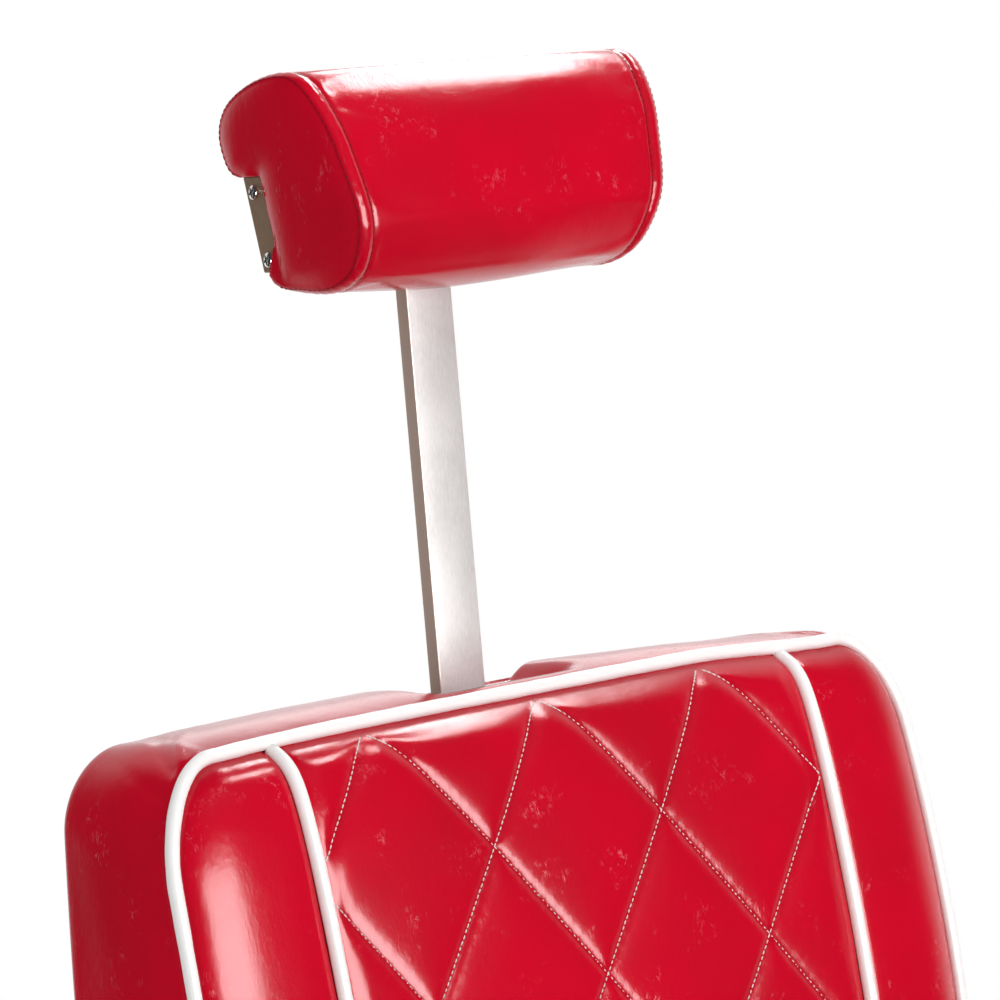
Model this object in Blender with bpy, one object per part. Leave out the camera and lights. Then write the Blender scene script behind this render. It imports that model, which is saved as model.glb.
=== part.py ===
"""A hydraulic barber chair with a quilted back, a sliding headrest and a linked leg rest.

Run with: blender --background --python part.py
Metres, +Z up. The chair faces -Y, and the origin is on the floor, on the axis of the pump.
"""

import math

import bmesh
import bpy
from mathutils import Matrix, Vector

MM = 0.001

# Fits and general sizes
GAP = 0.3 * MM
CUT_OVER = 20 * MM
ROUND_SIDES = 24
PIN_SIDES = 12

# Base and hydraulic pump
BASE_RADIUS = 340 * MM
BASE_PLATE_CLEARANCE = 21 * MM
BASE_PLATE_THICKNESS = 8 * MM
BASE_COVER_WALL = 3 * MM
BASE_COVER_HEIGHT = 64 * MM
BASE_RING_HEIGHT = 7 * MM
BASE_RING_WIDTH = 14 * MM
BASE_RING_PROUD = 1 * MM
BASE_COVER_RIM = 8 * MM
PUMP_RADIUS = 52 * MM
PUMP_FLANGE_RADIUS = 92 * MM
PUMP_FLANGE_THICKNESS = 12 * MM
PUMP_TOP = 300 * MM
PUMP_BORE_BOTTOM = 45 * MM
GLAND_HEIGHT = 16 * MM
GLAND_RADIUS = 44 * MM
RAM_RADIUS = 30 * MM
RAM_TOP = 392 * MM
RAM_BOTTOM = 60 * MM
RAM_COLLAR_WIDTH = 6 * MM
RAM_COLLAR_HEIGHT = 9 * MM
BEARING_BOTTOM = 332 * MM
BEARING_HEIGHT = 12 * MM
HUB_RADIUS = 48 * MM
HUB_FLANGE_RADIUS = 90 * MM
HUB_FLANGE_THICKNESS = 8 * MM
HUB_CHAMFER = 8 * MM
HUB_BEARING_STEP = 4 * MM

# Foot pedal of the pump
PEDAL_PIVOT_X = -80 * MM
PEDAL_PIVOT_Z = 108 * MM
PEDAL_REACH = 285 * MM
PEDAL_DROP = 26 * MM
PEDAL_WIDTH = 22 * MM
PEDAL_THICKNESS = 12 * MM
PEDAL_PIN_RADIUS = 6 * MM
PEDAL_PAD_LENGTH = 70 * MM
PEDAL_PAD_WIDTH = 46 * MM
PEDAL_PAD_THICKNESS = 10 * MM
LUG_WIDTH = 9 * MM
EAR_ROOT_RADIUS = 18 * MM
EAR_EYE_RADIUS = 13 * MM

# Seat frame
MOUNT_PLATE_THICKNESS = 8 * MM
MOUNT_PLATE_WIDTH = 400 * MM
MOUNT_PLATE_DEPTH = 240 * MM
RAIL_SIZE = 35 * MM
RAIL_OUTER_X = 202.5 * MM
RAIL_FRONT_Y = -240 * MM
RAIL_REAR_Y = 238 * MM
CROSS_RAIL_FRONT_Y = -205 * MM
CROSS_RAIL_REAR_Y = 205 * MM
BRACKET_THICKNESS = 6 * MM
BRACKET_LAP = 45 * MM
SEAT_BOARD_THICKNESS = 15 * MM

# Upholstery shared by the back and the seat
PIPING_RADIUS = 4.2 * MM
PIPING_REBATE = 6 * MM
DIAMOND_WIDTH = 128 * MM
DIAMOND_HEIGHT = 172 * MM
QUILT_START = 8 * MM
DIAMONDS_ACROSS = 3
QUILT_DEPTH = 9 * MM
CROWN = 13.5 * MM
EDGE_ROLL = 11 * MM
BOXING_BULGE = 2 * MM
PIPING_LIFT = 1 * MM

# Seat cushion
SEAT_HALF_WIDTH = 278 * MM
SEAT_FRONT_Y = -300 * MM
SEAT_REAR_Y = 200 * MM
SEAT_BOXING = 84 * MM
SEAT_CORNER = 45 * MM
SEAT_BOARD_INSET = 20 * MM

# Back rest: n runs backwards from the recline axis and u runs up along the board
HINGE_Y = 265 * MM
HINGE_Z = 455 * MM
BACK_LEAN = math.radians(7.4)
BACK_HALF_WIDTH = 291 * MM
BACK_BOTTOM_U = 45 * MM
BACK_HEIGHT = 515 * MM
BACK_CORNER = 52 * MM
BACK_TOP_CORNER = 70 * MM
BACK_BOTTOM_CORNER = 60 * MM
BACK_TAPER = 6 * MM
BACK_TAPER_LENGTH = 200 * MM
BACK_TOP_DEPTH = 64 * MM
BACK_TOP_ROLL = 10.6 * MM
BACK_TOP_ROLL_LENGTH = 25 * MM
BACK_LUMBAR = 43 * MM
BACK_LUMBAR_SPAN = 680 * MM
BACK_WALL = 18 * MM
BACK_BOARD_THICKNESS = 15 * MM
REAR_PANEL_THICKNESS = 5.5 * MM
REAR_PANEL_INSET = 5 * MM
BACK_ARM_THICKNESS = 8 * MM
BACK_ARM_TOP_U = 300 * MM
TORQUE_TUBE_RADIUS = 14 * MM
HINGE_BOSS_RADIUS = 24 * MM

# Headrest post and its socket in the back
POST_WIDTH = 35 * MM
POST_THICKNESS = 10 * MM
POST_N = 60 * MM
POST_EXPOSED = 247 * MM
POST_INSERTED = 100 * MM
POST_TRAVEL_DOWN = 200 * MM
POST_TAIL = 62 * MM
LINER_WALL = 2 * MM
LINER_LENGTH = 45 * MM
SOCKET_WALL = 2.5 * MM
POST_PLATE_WIDTH = 92 * MM
POST_PLATE_DEPTH = 30 * MM
POST_PLATE_THICKNESS = 2 * MM
POST_PLATE_SINK = 4 * MM

# Headrest: h runs backwards from the post and k up from the pad's lower edge
HEAD_HALF_WIDTH = 109 * MM
HEAD_FLARE = 0.165
HEAD_END_DOME = 4 * MM
HEAD_BOARD_BOTTOM = 14.5 * MM
HEAD_BOARD_HEIGHT = 53 * MM
HEAD_BOARD_THICKNESS = 14 * MM
HEAD_STRAP_WALL = 2 * MM
HEAD_STRAP_MARGIN = 1.5 * MM
HEAD_PAD_DEPTH = 83 * MM
HEAD_PAD_HEIGHT = 128.5 * MM
HEAD_LIP = 32 * MM

# Arm rests
ARM_X = 332 * MM
ARM_TUBE_RADIUS = 14 * MM
ARM_TOP_Z = 705 * MM
ARM_FRONT_Y = -150 * MM
ARM_REAR_Y = 95 * MM
ARM_FOOT_BEND = 32 * MM
ARM_TOP_BEND = 55 * MM
ARM_PAD_WIDTH = 62 * MM
ARM_PAD_LENGTH = 320 * MM
ARM_PAD_HEIGHT = 46 * MM

# Leg rest
LEG_Y = -262 * MM
LEG_Z = 422 * MM
LEG_LEAN = math.radians(20)
LEG_LENGTH = 285 * MM
LEG_AXLE_RADIUS = 10 * MM
LEG_BOSS_RADIUS = 18 * MM
LEG_ARM_WIDTH = 26 * MM
LEG_BOARD_THICKNESS = 12 * MM
LEG_BOARD_TOP = 35 * MM
LEG_PAD_HALF_WIDTH = 192 * MM
LEG_PAD_THICKNESS = 42 * MM
FOOT_PLATE_HALF_WIDTH = 150 * MM
FOOT_PLATE_DEPTH = 150 * MM
FOOT_PLATE_THICKNESS = 8 * MM
FOOT_MAT_MARGIN = 10 * MM
FOOT_MAT_THICKNESS = 4 * MM

# Linkage between the back and the leg rest, and the recline lock
CRANK_LENGTH = 90 * MM
LINK_THICKNESS = 8 * MM
LINK_HALF_HEIGHT = 11 * MM
LINK_PIN_RADIUS = 6 * MM
LINK_PIN_HEAD = 4 * MM
LOCK_X = 120 * MM
LOCK_ARM = 75 * MM
LOCK_SWING = math.radians(25)
LOCK_LUG_THICKNESS = 10 * MM
LOCK_LUG_RADIUS = 16 * MM
LOCK_PIN_RADIUS = 6 * MM
LOCK_SLOT_PLAY = 1.2 * MM
LOCK_ROD_RADIUS = 6 * MM
LOCK_BARREL_RADIUS = 14 * MM
LOCK_BARREL_FRONT_Y = -70 * MM
LOCK_BARREL_REAR_Y = 150 * MM
LOCK_CLAMP_Y = 20 * MM
LOCK_CLAMP_LENGTH = 40 * MM
LOCK_CLAMP_WALL = 6 * MM
LOCK_BARREL_END = 25 * MM
LOCK_ROD_INSERTED = 100 * MM
LOCK_FORK_WALL = 5 * MM
LOCK_FORK_MARGIN = 4 * MM
LOCK_FORK_BRIDGE = 16 * MM
LOCK_PIN_OVER = 3 * MM

# Recline lever
LEVER_Y = 20 * MM
LEVER_Z = 430 * MM
LEVER_SHAFT_RADIUS = 8 * MM
LEVER_SHAFT_DEPTH = 20 * MM
LEVER_X = 296 * MM
LEVER_LENGTH = 120 * MM
LEVER_THICKNESS = 7 * MM
LEVER_BOSS_RADIUS = 13 * MM
LEVER_TIP_RADIUS = 10 * MM
LEVER_KNOB_RADIUS = 13 * MM
LEVER_KNOB_LENGTH = 34 * MM

# Places that follow from the sizes above
BASE_PLATE_RADIUS = BASE_RADIUS - BASE_RING_WIDTH - BASE_PLATE_CLEARANCE
LINER_INNER = POST_THICKNESS / 2 + GAP
LINER_OUTER = LINER_INNER + LINER_WALL
SOCKET_INNER = LINER_OUTER + GAP
SOCKET_OUTER = SOCKET_INNER + SOCKET_WALL
SOCKET_SIDE = SOCKET_OUTER + (POST_WIDTH - POST_THICKNESS) / 2
SOCKET_LENGTH = POST_INSERTED + POST_TRAVEL_DOWN + 10 * MM
RIM_N = POST_N + SOCKET_OUTER + GAP
BOARD_REAR_N = POST_N - SOCKET_OUTER - GAP
BACK_TOP_U = BACK_BOTTOM_U + BACK_HEIGHT
BACK_MIDDLE_U = BACK_BOTTOM_U + BACK_HEIGHT / 2
PLATE_U = BACK_TOP_U - POST_PLATE_SINK
BRACKET_X = RAIL_OUTER_X + GAP
ARM_PLATE_X = BRACKET_X + BRACKET_THICKNESS + 14 * GAP
LINK_X = ARM_PLATE_X + BACK_ARM_THICKNESS + 2 * GAP
MOUNT_PLATE_Z = RAM_TOP + GAP + HUB_FLANGE_THICKNESS + GAP
RAIL_Z = MOUNT_PLATE_Z + MOUNT_PLATE_THICKNESS + GAP
SEAT_BOARD_Z = RAIL_Z + RAIL_SIZE + GAP
SEAT_CUSHION_Z = SEAT_BOARD_Z + SEAT_BOARD_THICKNESS + GAP
LOCK_Z = HINGE_Z - LOCK_ARM
LOCK_PIN_Y = HINGE_Y + LOCK_ARM * math.tan(LOCK_SWING)

RED_VINYL = (0.62, 0.0, 0.025)
WHITE_VINYL = (0.9, 0.9, 0.88)
CHROME = (0.82, 0.82, 0.83)
STEEL = (0.62, 0.6, 0.57)
BLACK_STEEL = (0.03, 0.03, 0.035)
RUBBER = (0.02, 0.02, 0.02)
PLYWOOD = (0.62, 0.46, 0.28)
NYLON = (0.85, 0.85, 0.82)


def clear_scene():
    """Remove everything that the scene starts with."""
    for obj in list(bpy.data.objects):
        bpy.data.objects.remove(obj)


def material(name, colour, roughness, metallic):
    """One Principled material, made once and shared by name."""
    found = bpy.data.materials.get(name)
    if found:
        return found
    made = bpy.data.materials.new(name)
    made.use_nodes = True
    shader = made.node_tree.nodes["Principled BSDF"]
    shader.inputs["Base Color"].default_value = (*colour, 1)
    shader.inputs["Roughness"].default_value = roughness
    shader.inputs["Metallic"].default_value = metallic
    return made


def red_vinyl():
    return material("red_vinyl", RED_VINYL, 0.25, 0)


def white_vinyl():
    return material("white_vinyl", WHITE_VINYL, 0.3, 0)


def chrome():
    return material("chrome", CHROME, 0.08, 1)


def brushed_steel():
    return material("brushed_steel", STEEL, 0.3, 1)


def black_steel():
    return material("black_steel", BLACK_STEEL, 0.45, 0)


def rubber():
    return material("rubber", RUBBER, 0.8, 0)


def plywood():
    return material("plywood", PLYWOOD, 0.7, 0)


def nylon():
    return material("nylon", NYLON, 0.5, 0)


def frame(name, place, lean, parent=None):
    """An empty that holds a leaning group: its Z runs up along the lean and its Y backwards."""
    empty = bpy.data.objects.new(name, None)
    empty.location = place
    empty.rotation_euler = (-lean, 0, 0)
    empty.parent = parent
    bpy.context.scene.collection.objects.link(empty)
    return empty


def finish(name, bm, surface, parent=None, smooth_angle=35):
    """Turn a bmesh into a named object with outward faces."""
    bmesh.ops.recalc_face_normals(bm, faces=bm.faces)
    mesh = bpy.data.meshes.new(name)
    bm.to_mesh(mesh)
    bm.free()
    mesh.shade_smooth()
    mesh.set_sharp_from_angle(angle=math.radians(smooth_angle))
    obj = bpy.data.objects.new(name, mesh)
    obj.data.materials.append(surface)
    obj.parent = parent
    bpy.context.scene.collection.objects.link(obj)
    return obj


def as_cutter(obj):
    """Keep an object as a tool for Booleans only."""
    obj.hide_render = True
    obj.display_type = "WIRE"
    return obj


def boolean(obj, tool, operation="DIFFERENCE"):
    """Cut or join with the exact solver."""
    as_cutter(tool)
    step = obj.modifiers.new(tool.name, "BOOLEAN")
    step.operation = operation
    step.solver = "EXACT"
    step.object = tool
    return obj


def box_bmesh(low, high):
    bm = bmesh.new()
    bmesh.ops.create_cube(bm, size=1)
    size = Vector(high) - Vector(low)
    middle = (Vector(high) + Vector(low)) / 2
    place = Matrix.Translation(middle) @ Matrix.Diagonal((*size, 1))
    bmesh.ops.transform(bm, matrix=place, verts=bm.verts)
    return bm


def box(name, low, high, surface, parent=None, bevel=0.0):
    """A block between two corners, with its edges bevelled by one step."""
    bm = box_bmesh(low, high)
    if bevel:
        bmesh.ops.bevel(bm, geom=bm.edges[:], offset=bevel, segments=1, affect="EDGES")
    return finish(name, bm, surface, parent)


def turned(name, profile, surface, sides=ROUND_SIDES, place=Matrix.Identity(4), parent=None):
    """Spin a closed profile of (radius, height) points about Z, then put it in place."""
    bm = bmesh.new()
    rings = []
    for step in range(sides):
        turn = 2 * math.pi * step / sides
        ring = [bm.verts.new((r * math.cos(turn), r * math.sin(turn), z)) for r, z in profile]
        rings.append(ring)
    for step in range(sides):
        near = rings[step]
        far = rings[(step + 1) % sides]
        for i in range(len(profile)):
            j = (i + 1) % len(profile)
            bm.faces.new((near[i], near[j], far[j], far[i]))
    bmesh.ops.remove_doubles(bm, verts=bm.verts, dist=1e-6)
    bmesh.ops.transform(bm, matrix=place, verts=bm.verts)
    return finish(name, bm, surface, parent)


def disc_points(centre, radius, sides=PIN_SIDES):
    turns = [2 * math.pi * i / sides for i in range(sides)]
    return [(centre[0] + radius * math.cos(t), centre[1] + radius * math.sin(t)) for t in turns]


def rod(name, start, end, radius, surface, parent=None, sides=PIN_SIDES):
    """A round bar between two points."""
    start = Vector(start)
    run = Vector(end) - start
    place = Matrix.Translation(start) @ run.to_track_quat("Z", "Y").to_matrix().to_4x4()
    profile = [(0, 0), (radius, 0), (radius, run.length), (0, run.length)]
    return turned(name, profile, surface, sides, place, parent)


def hole_radius(radius, sides=PIN_SIDES):
    """A faceted hole whose flats clear a bar of this radius by the gap."""
    return (radius + GAP) / math.cos(math.pi / sides)


def hull_plate(name, discs, low, high, surface, parent=None, axis="X"):
    """A flat plate: the outline drawn tight round discs of (a, b, radius), extruded along X or Y.

    a and b are (y, z) for a plate along X, and (x, z) for a plate along Y.
    """
    bm = bmesh.new()
    for a, b, radius in discs:
        for pa, pb in disc_points((a, b), radius, ROUND_SIDES):
            for depth in (low, high):
                bm.verts.new((depth, pa, pb) if axis == "X" else (pa, depth, pb))
    hull = bmesh.ops.convex_hull(bm, input=bm.verts)
    spare = [v for v in hull["geom_interior"] if isinstance(v, bmesh.types.BMVert)]
    bmesh.ops.delete(bm, geom=spare, context="VERTS")
    bmesh.ops.dissolve_limit(bm, angle_limit=math.radians(1), verts=bm.verts, edges=bm.edges)
    return finish(name, bm, surface, parent)


def rounded_discs(half_x, low_z, high_z, corner):
    """The four corner discs of a rectangle with round corners."""
    xs = (-half_x + corner, half_x - corner)
    return [(x, z, corner) for x in xs for z in (low_z + corner, high_z - corner)]


def tube(name, points, radius, surface, parent=None, resolution=2, closed=False):
    """A round tube along a chain of points."""
    curve = bpy.data.curves.new(name, "CURVE")
    curve.dimensions = "3D"
    curve.bevel_depth = radius
    curve.bevel_resolution = resolution
    curve.use_fill_caps = not closed
    spline = curve.splines.new("POLY")
    spline.points.add(len(points) - 1)
    for point, place in zip(spline.points, points):
        point.co = (*place, 1)
    spline.use_cyclic_u = closed
    curve.materials.append(surface)
    obj = bpy.data.objects.new(name, curve)
    obj.parent = parent
    bpy.context.scene.collection.objects.link(obj)
    return obj


def filleted(corners, radii, steps=5):
    """A chain of straight runs whose inner corners are rounded by arcs."""
    points = [Vector(corners[0])]
    for before, corner, after, radius in zip(corners, corners[1:], corners[2:], radii):
        corner = Vector(corner)
        back = (Vector(before) - corner).normalized()
        ahead = (Vector(after) - corner).normalized()
        half = back.angle(ahead) / 2
        reach = radius / math.tan(half)
        middle = corner + (back + ahead).normalized() * radius / math.sin(half)
        start = corner + back * reach - middle
        end = corner + ahead * reach - middle
        sweep = start.angle(end)
        for i in range(steps + 1):
            t = i / steps
            mixed = (start * math.sin((1 - t) * sweep) + end * math.sin(t * sweep)) / math.sin(sweep)
            points.append(middle + mixed)
    points.append(Vector(corners[-1]))
    return points


# The quilted, piped cushions

def puff(x, v):
    """How far the quilting stands off its seams: 0 on a seam and 1 in the middle of a diamond."""
    a = x / DIAMOND_WIDTH + v / DIAMOND_HEIGHT
    b = x / DIAMOND_WIDTH - v / DIAMOND_HEIGHT
    return abs(math.sin(math.pi * a) * math.sin(math.pi * b)) ** 0.5


def rounded_corner(x, v, half_x, half_v, radius_x, radius_v):
    """Moves a point of a rectangle into the same rectangle with oval corners."""
    a = (abs(x) - (half_x - radius_x)) / radius_x
    b = (abs(v) - (half_v - radius_v)) / radius_v
    if a <= 0 or b <= 0:
        return x, v
    round_a = a * math.sqrt(1 - b * b / 2)
    round_b = b * math.sqrt(1 - a * a / 2)
    new_x = math.copysign(half_x - radius_x + radius_x * round_a, x)
    new_v = math.copysign(half_v - radius_v + radius_v * round_b, v)
    return new_x, new_v


def crown_height(x, v, half_x, half_v):
    """The crown of a panel: it rolls up from its seams within the edge roll."""
    from_side = max(0.0, half_x - abs(x))
    from_end = max(0.0, half_v - abs(v))
    return CROWN * (1 - math.exp(-from_side / EDGE_ROLL)) * (1 - math.exp(-from_end / EDGE_ROLL))


class PipedCushion:
    """A boxed cushion: a quilted panel between two piped side panels, over a boxing band.

    x runs across, v along the panel from its middle and d out of it. seam gives d of the piped seam.
    corners holds the oval corners' radius across, and along at the low and at the high end. The side panels
    draw in by the taper towards the high end.
    """

    def __init__(self, half_x, half_v, corners, back_d, seam, taper=0.0):
        self.half_x = half_x
        self.half_v = half_v
        self.corners = corners
        self.back_d = back_d
        self.seam = seam
        self.taper = taper
        self.groove = (PIPING_RADIUS + GAP) * math.sqrt(2)
        self.divider_x = DIAMONDS_ACROSS * DIAMOND_WIDTH / 2 + self.groove

    def columns(self):
        """Grid lines across: the quilting's quarter points, the piping grooves and the side rolls."""
        edge = self.half_x - PIPING_REBATE
        inner = self.divider_x - self.groove
        count = 4 * DIAMONDS_ACROSS
        middle = [-inner + 2 * inner * i / count for i in range(count + 1)]
        outer = self.divider_x + self.groove
        width = edge - outer
        side = [self.divider_x, outer, outer + 0.45 * width, outer + 0.75 * width, edge]
        return [-x for x in reversed(side)] + middle + side

    def rows(self):
        """Grid lines along: the quilting's quarter points and the end rolls."""
        edge = self.half_v - PIPING_REBATE
        roll = edge - EDGE_ROLL
        quarter = DIAMOND_HEIGHT / 4
        lines = []
        v = self.half_v + QUILT_START - quarter
        while v > roll - quarter / 3:
            v -= quarter
        while v > -roll + quarter / 3:
            lines.append(v)
            v -= quarter
        return [-edge, -roll] + lines[::-1] + [roll, edge]

    def crowned_d(self, x, v):
        return self.seam(v) + crown_height(x, v, self.half_x - PIPING_REBATE, self.half_v - PIPING_REBATE)

    def groove_depth(self, v):
        """The depth of a divider's groove: more where the panel slopes, so that the piping still fits."""
        near = [self.crowned_d(self.divider_x, v + step * EDGE_ROLL) for step in (-1, 0, 1)]
        steepest = max(abs(near[1] - near[0]), abs(near[2] - near[1])) / EDGE_ROLL
        return self.groove * math.sqrt(1 + steepest * steepest)

    def panel_d(self, x, v):
        """Height of the panel: seam, crown, quilting and the grooves for the two dividing pipings."""
        d = self.crowned_d(x, v)
        if abs(abs(x) - self.divider_x) < GAP:
            return d - self.groove_depth(v)
        if abs(x) < self.divider_x - self.groove + GAP:
            inner = self.divider_x - self.groove
            fade = min(1.0, (self.half_v - abs(v)) / EDGE_ROLL, max(0.0, inner - abs(x)) / EDGE_ROLL)
            d += QUILT_DEPTH * (puff(x, v - self.half_v - QUILT_START) - 0.5) * fade
        return d

    def boundary(self, columns, rows):
        """Grid indices round the edge of the panel, in order."""
        last_i = len(columns) - 1
        last_j = len(rows) - 1
        ring = [(i, 0) for i in range(last_i)]
        ring += [(last_i, j) for j in range(last_j)]
        ring += [(i, last_j) for i in range(last_i, 0, -1)]
        ring += [(0, j) for j in range(last_j, 0, -1)]
        return ring

    def panel_point(self, x, v):
        """A point of the panel's grid, moved in round the corners."""
        radius_v = self.corners[2] if v > 0 else self.corners[1]
        half_x = self.half_x - PIPING_REBATE
        half_v = self.half_v - PIPING_REBATE
        round_x = self.corners[0] - PIPING_REBATE
        round_v = radius_v - PIPING_REBATE
        px, pv = rounded_corner(x, v, half_x, half_v, round_x, round_v)
        outer = self.divider_x + self.groove
        side = max(0.0, (abs(px) - outer) / (half_x - outer))
        near_top = max(0.0, 1 - (half_v - pv) / BACK_TAPER_LENGTH)
        return px - math.copysign(self.taper * side * near_top ** 2, px), pv

    def outline_point(self, x, v, inset):
        """A point of the panel's edge, moved square to the edge to the outline with this inset."""
        px, pv = self.panel_point(x, v)
        radius_x = self.corners[0] - PIPING_REBATE
        radius_v = (self.corners[2] if v > 0 else self.corners[1]) - PIPING_REBATE
        from_x = max(0.0, abs(px) - (self.half_x - PIPING_REBATE - radius_x))
        from_v = max(0.0, abs(pv) - (self.half_v - PIPING_REBATE - radius_v))
        if from_x and from_v:
            slope = (math.copysign(from_x, px) / radius_x ** 2, math.copysign(from_v, pv) / radius_v ** 2)
            away = Vector(slope).normalized()
        elif abs(x) >= self.half_x - PIPING_REBATE - GAP:
            away = Vector((math.copysign(1, x), 0))
        else:
            away = Vector((0, math.copysign(1, v)))
        return px + away.x * (PIPING_REBATE - inset), pv + away.y * (PIPING_REBATE - inset)

    def bmesh(self):
        """The closed cushion in x, v, d."""
        columns = self.columns()
        rows = self.rows()
        bm = bmesh.new()
        grid = {}
        for i, x in enumerate(columns):
            for j, v in enumerate(rows):
                px, pv = self.panel_point(x, v)
                grid[i, j] = bm.verts.new((px, pv, self.panel_d(px, pv)))
        for i in range(len(columns) - 1):
            for j in range(len(rows) - 1):
                a, b = grid[i, j], grid[i + 1, j]
                c, d = grid[i + 1, j + 1], grid[i, j + 1]
                middle_x = (columns[i] + columns[i + 1]) / 2
                middle_v = (rows[j] + rows[j + 1]) / 2 - self.half_v - QUILT_START
                rising = math.sin(2 * math.pi * middle_x / DIAMOND_WIDTH)
                rising *= math.sin(2 * math.pi * middle_v / DIAMOND_HEIGHT)
                if rising > 0:
                    bm.faces.new((a, b, c))
                    bm.faces.new((a, c, d))
                else:
                    bm.faces.new((a, b, d))
                    bm.faces.new((b, c, d))
        ring = self.boundary(columns, rows)
        previous = [grid[key] for key in ring]
        for inset, share, drop in self.side_steps():
            loop = []
            for i, j in ring:
                x, v = self.outline_point(columns[i], rows[j], inset)
                top = self.seam(v) - drop
                loop.append(bm.verts.new((x, v, top + (self.back_d - top) * share)))
            for k in range(len(loop)):
                n = (k + 1) % len(loop)
                bm.faces.new((previous[k], previous[n], loop[n], loop[k]))
            previous = loop
        bm.faces.new(previous)
        return bm

    def side_steps(self):
        """The boxing as rings of (inset, share of the way down to the back, drop below the seam)."""
        rebate = PIPING_REBATE
        return [
            (rebate, 0.0, rebate),
            (0.0, 0.0, rebate),
            (-BOXING_BULGE, 0.35, rebate),
            (-BOXING_BULGE, 0.7, rebate),
            (BOXING_BULGE, 1.0, rebate),
        ]

    def edge_piping(self):
        """The line of the piping that lies in the rebate round the panel."""
        columns = self.columns()
        rows = self.rows()
        inset = PIPING_REBATE - PIPING_RADIUS - GAP
        points = []
        for i, j in self.boundary(columns, rows):
            x, v = self.outline_point(columns[i], rows[j], inset)
            points.append(Vector((x, v, self.seam(v) - inset + PIPING_LIFT)))
        return points

    def divider_piping(self, side):
        """The line of a piping that parts the quilted panel from a side panel."""
        limit = self.half_v - PIPING_REBATE - PIPING_RADIUS
        points = []
        for v in self.rows():
            v = max(-limit, min(limit, v))
            points.append(Vector((side * self.divider_x, v, self.crowned_d(self.divider_x, v))))
        return points


def back_seam(v):
    """How far the piped seam of the back stands in front of the post, along the height."""
    below = BACK_HEIGHT / 2 - v
    roll = BACK_TOP_ROLL * (1 - math.exp(-below / BACK_TOP_ROLL_LENGTH))
    lumbar = BACK_LUMBAR * math.sin(math.pi * below / BACK_LUMBAR_SPAN)
    return BACK_TOP_DEPTH + roll + lumbar - POST_N


def seat_seam(v):
    return SEAT_BOXING


def piped_cushion_objects(cushion, name, to_local, parent):
    """The cushion, its edge piping and its two dividing pipings, as separate pieces."""
    bm = cushion.bmesh()
    bmesh.ops.transform(bm, matrix=to_local, verts=bm.verts)
    pad = finish(name + "_cushion", bm, red_vinyl(), parent, smooth_angle=25)
    line = [to_local @ p for p in cushion.edge_piping()]
    tube(name + "_edge_piping", line, PIPING_RADIUS, white_vinyl(), parent, resolution=1, closed=True)
    for side, word in ((-1, "right"), (1, "left")):
        line = [to_local @ p for p in cushion.divider_piping(side)]
        tube(f"{name}_divider_piping_{word}", line, PIPING_RADIUS, white_vinyl(), parent, resolution=1)
    return pad


# Soft pieces without quilting

def soft_block(name, low, high, surface, parent=None, power=6, cuts=5):
    """A pillow between two corners: a cube's grid drawn in to a superellipsoid of this power."""
    bm = bmesh.new()
    bmesh.ops.create_cube(bm, size=2)
    bmesh.ops.subdivide_edges(bm, edges=bm.edges[:], cuts=cuts, use_grid_fill=True)
    half = (Vector(high) - Vector(low)) / 2
    middle = (Vector(high) + Vector(low)) / 2
    for vert in bm.verts:
        spread = [math.sin(c * math.pi / 2) for c in vert.co]
        length = sum(abs(c) ** power for c in spread) ** (1 / power)
        vert.co = [m + h * c / length for m, h, c in zip(middle, half, spread)]
    return finish(name, bm, surface, parent, smooth_angle=70)


def head_front():
    """h of the front face of the headrest board."""
    return POST_THICKNESS / 2 + 2 * MM - HEAD_BOARD_THICKNESS


def head_profile():
    """The end of the headrest pad as (h, k): a notch for the board, a round body and a lip behind."""
    rear = head_front() - GAP
    floor = HEAD_BOARD_BOTTOM - HEAD_STRAP_MARGIN - 2 * MM
    notch = HEAD_BOARD_BOTTOM + HEAD_BOARD_HEIGHT + HEAD_STRAP_MARGIN + 1 * MM
    deep = HEAD_PAD_DEPTH
    tall = HEAD_PAD_HEIGHT
    body = [
        (rear + 0.33 * HEAD_LIP, floor),
        (rear + 0.23 * HEAD_LIP, 0.055 * tall),
        (rear - 0.04 * deep, 0.02 * tall),
        (rear - 0.37 * deep, 0),
        (rear - 0.58 * deep, 0.02 * tall),
        (rear - 0.76 * deep, 0.073 * tall),
        (rear - 0.88 * deep, 0.157 * tall),
        (rear - 0.955 * deep, 0.244 * tall),
        (rear - deep, 0.34 * tall),
        (rear - 0.98 * deep, 0.46 * tall),
        (rear - 0.93 * deep, 0.59 * tall),
        (rear - 0.88 * deep, 0.72 * tall),
        (rear - 0.79 * deep, 0.83 * tall),
        (rear - 0.70 * deep, 0.915 * tall),
        (rear - 0.585 * deep, 0.98 * tall),
        (rear - 0.45 * deep, tall),
        (rear - 0.27 * deep, 0.992 * tall),
        (rear - 0.08 * deep, 0.96 * tall),
        (rear + 0.33 * HEAD_LIP, 0.90 * tall),
        (rear + 0.65 * HEAD_LIP, 0.845 * tall),
        (rear + 0.90 * HEAD_LIP, 0.77 * tall),
        (rear + HEAD_LIP, 0.69 * tall),
        (rear + 0.93 * HEAD_LIP, 0.60 * tall),
        (rear + 0.70 * HEAD_LIP, notch + 0.5 * MM),
        (rear + 0.30 * HEAD_LIP, notch),
    ]
    return body + [(rear, notch), (rear, floor)]


def flared(bm):
    """Spreads the ends of a headrest piece, which is wider at its top than at its bottom."""
    for vert in bm.verts:
        if abs(vert.co.x) > 2 * POST_WIDTH:
            vert.co.x += math.copysign(HEAD_FLARE * vert.co.z, vert.co.x)
    return bm


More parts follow.
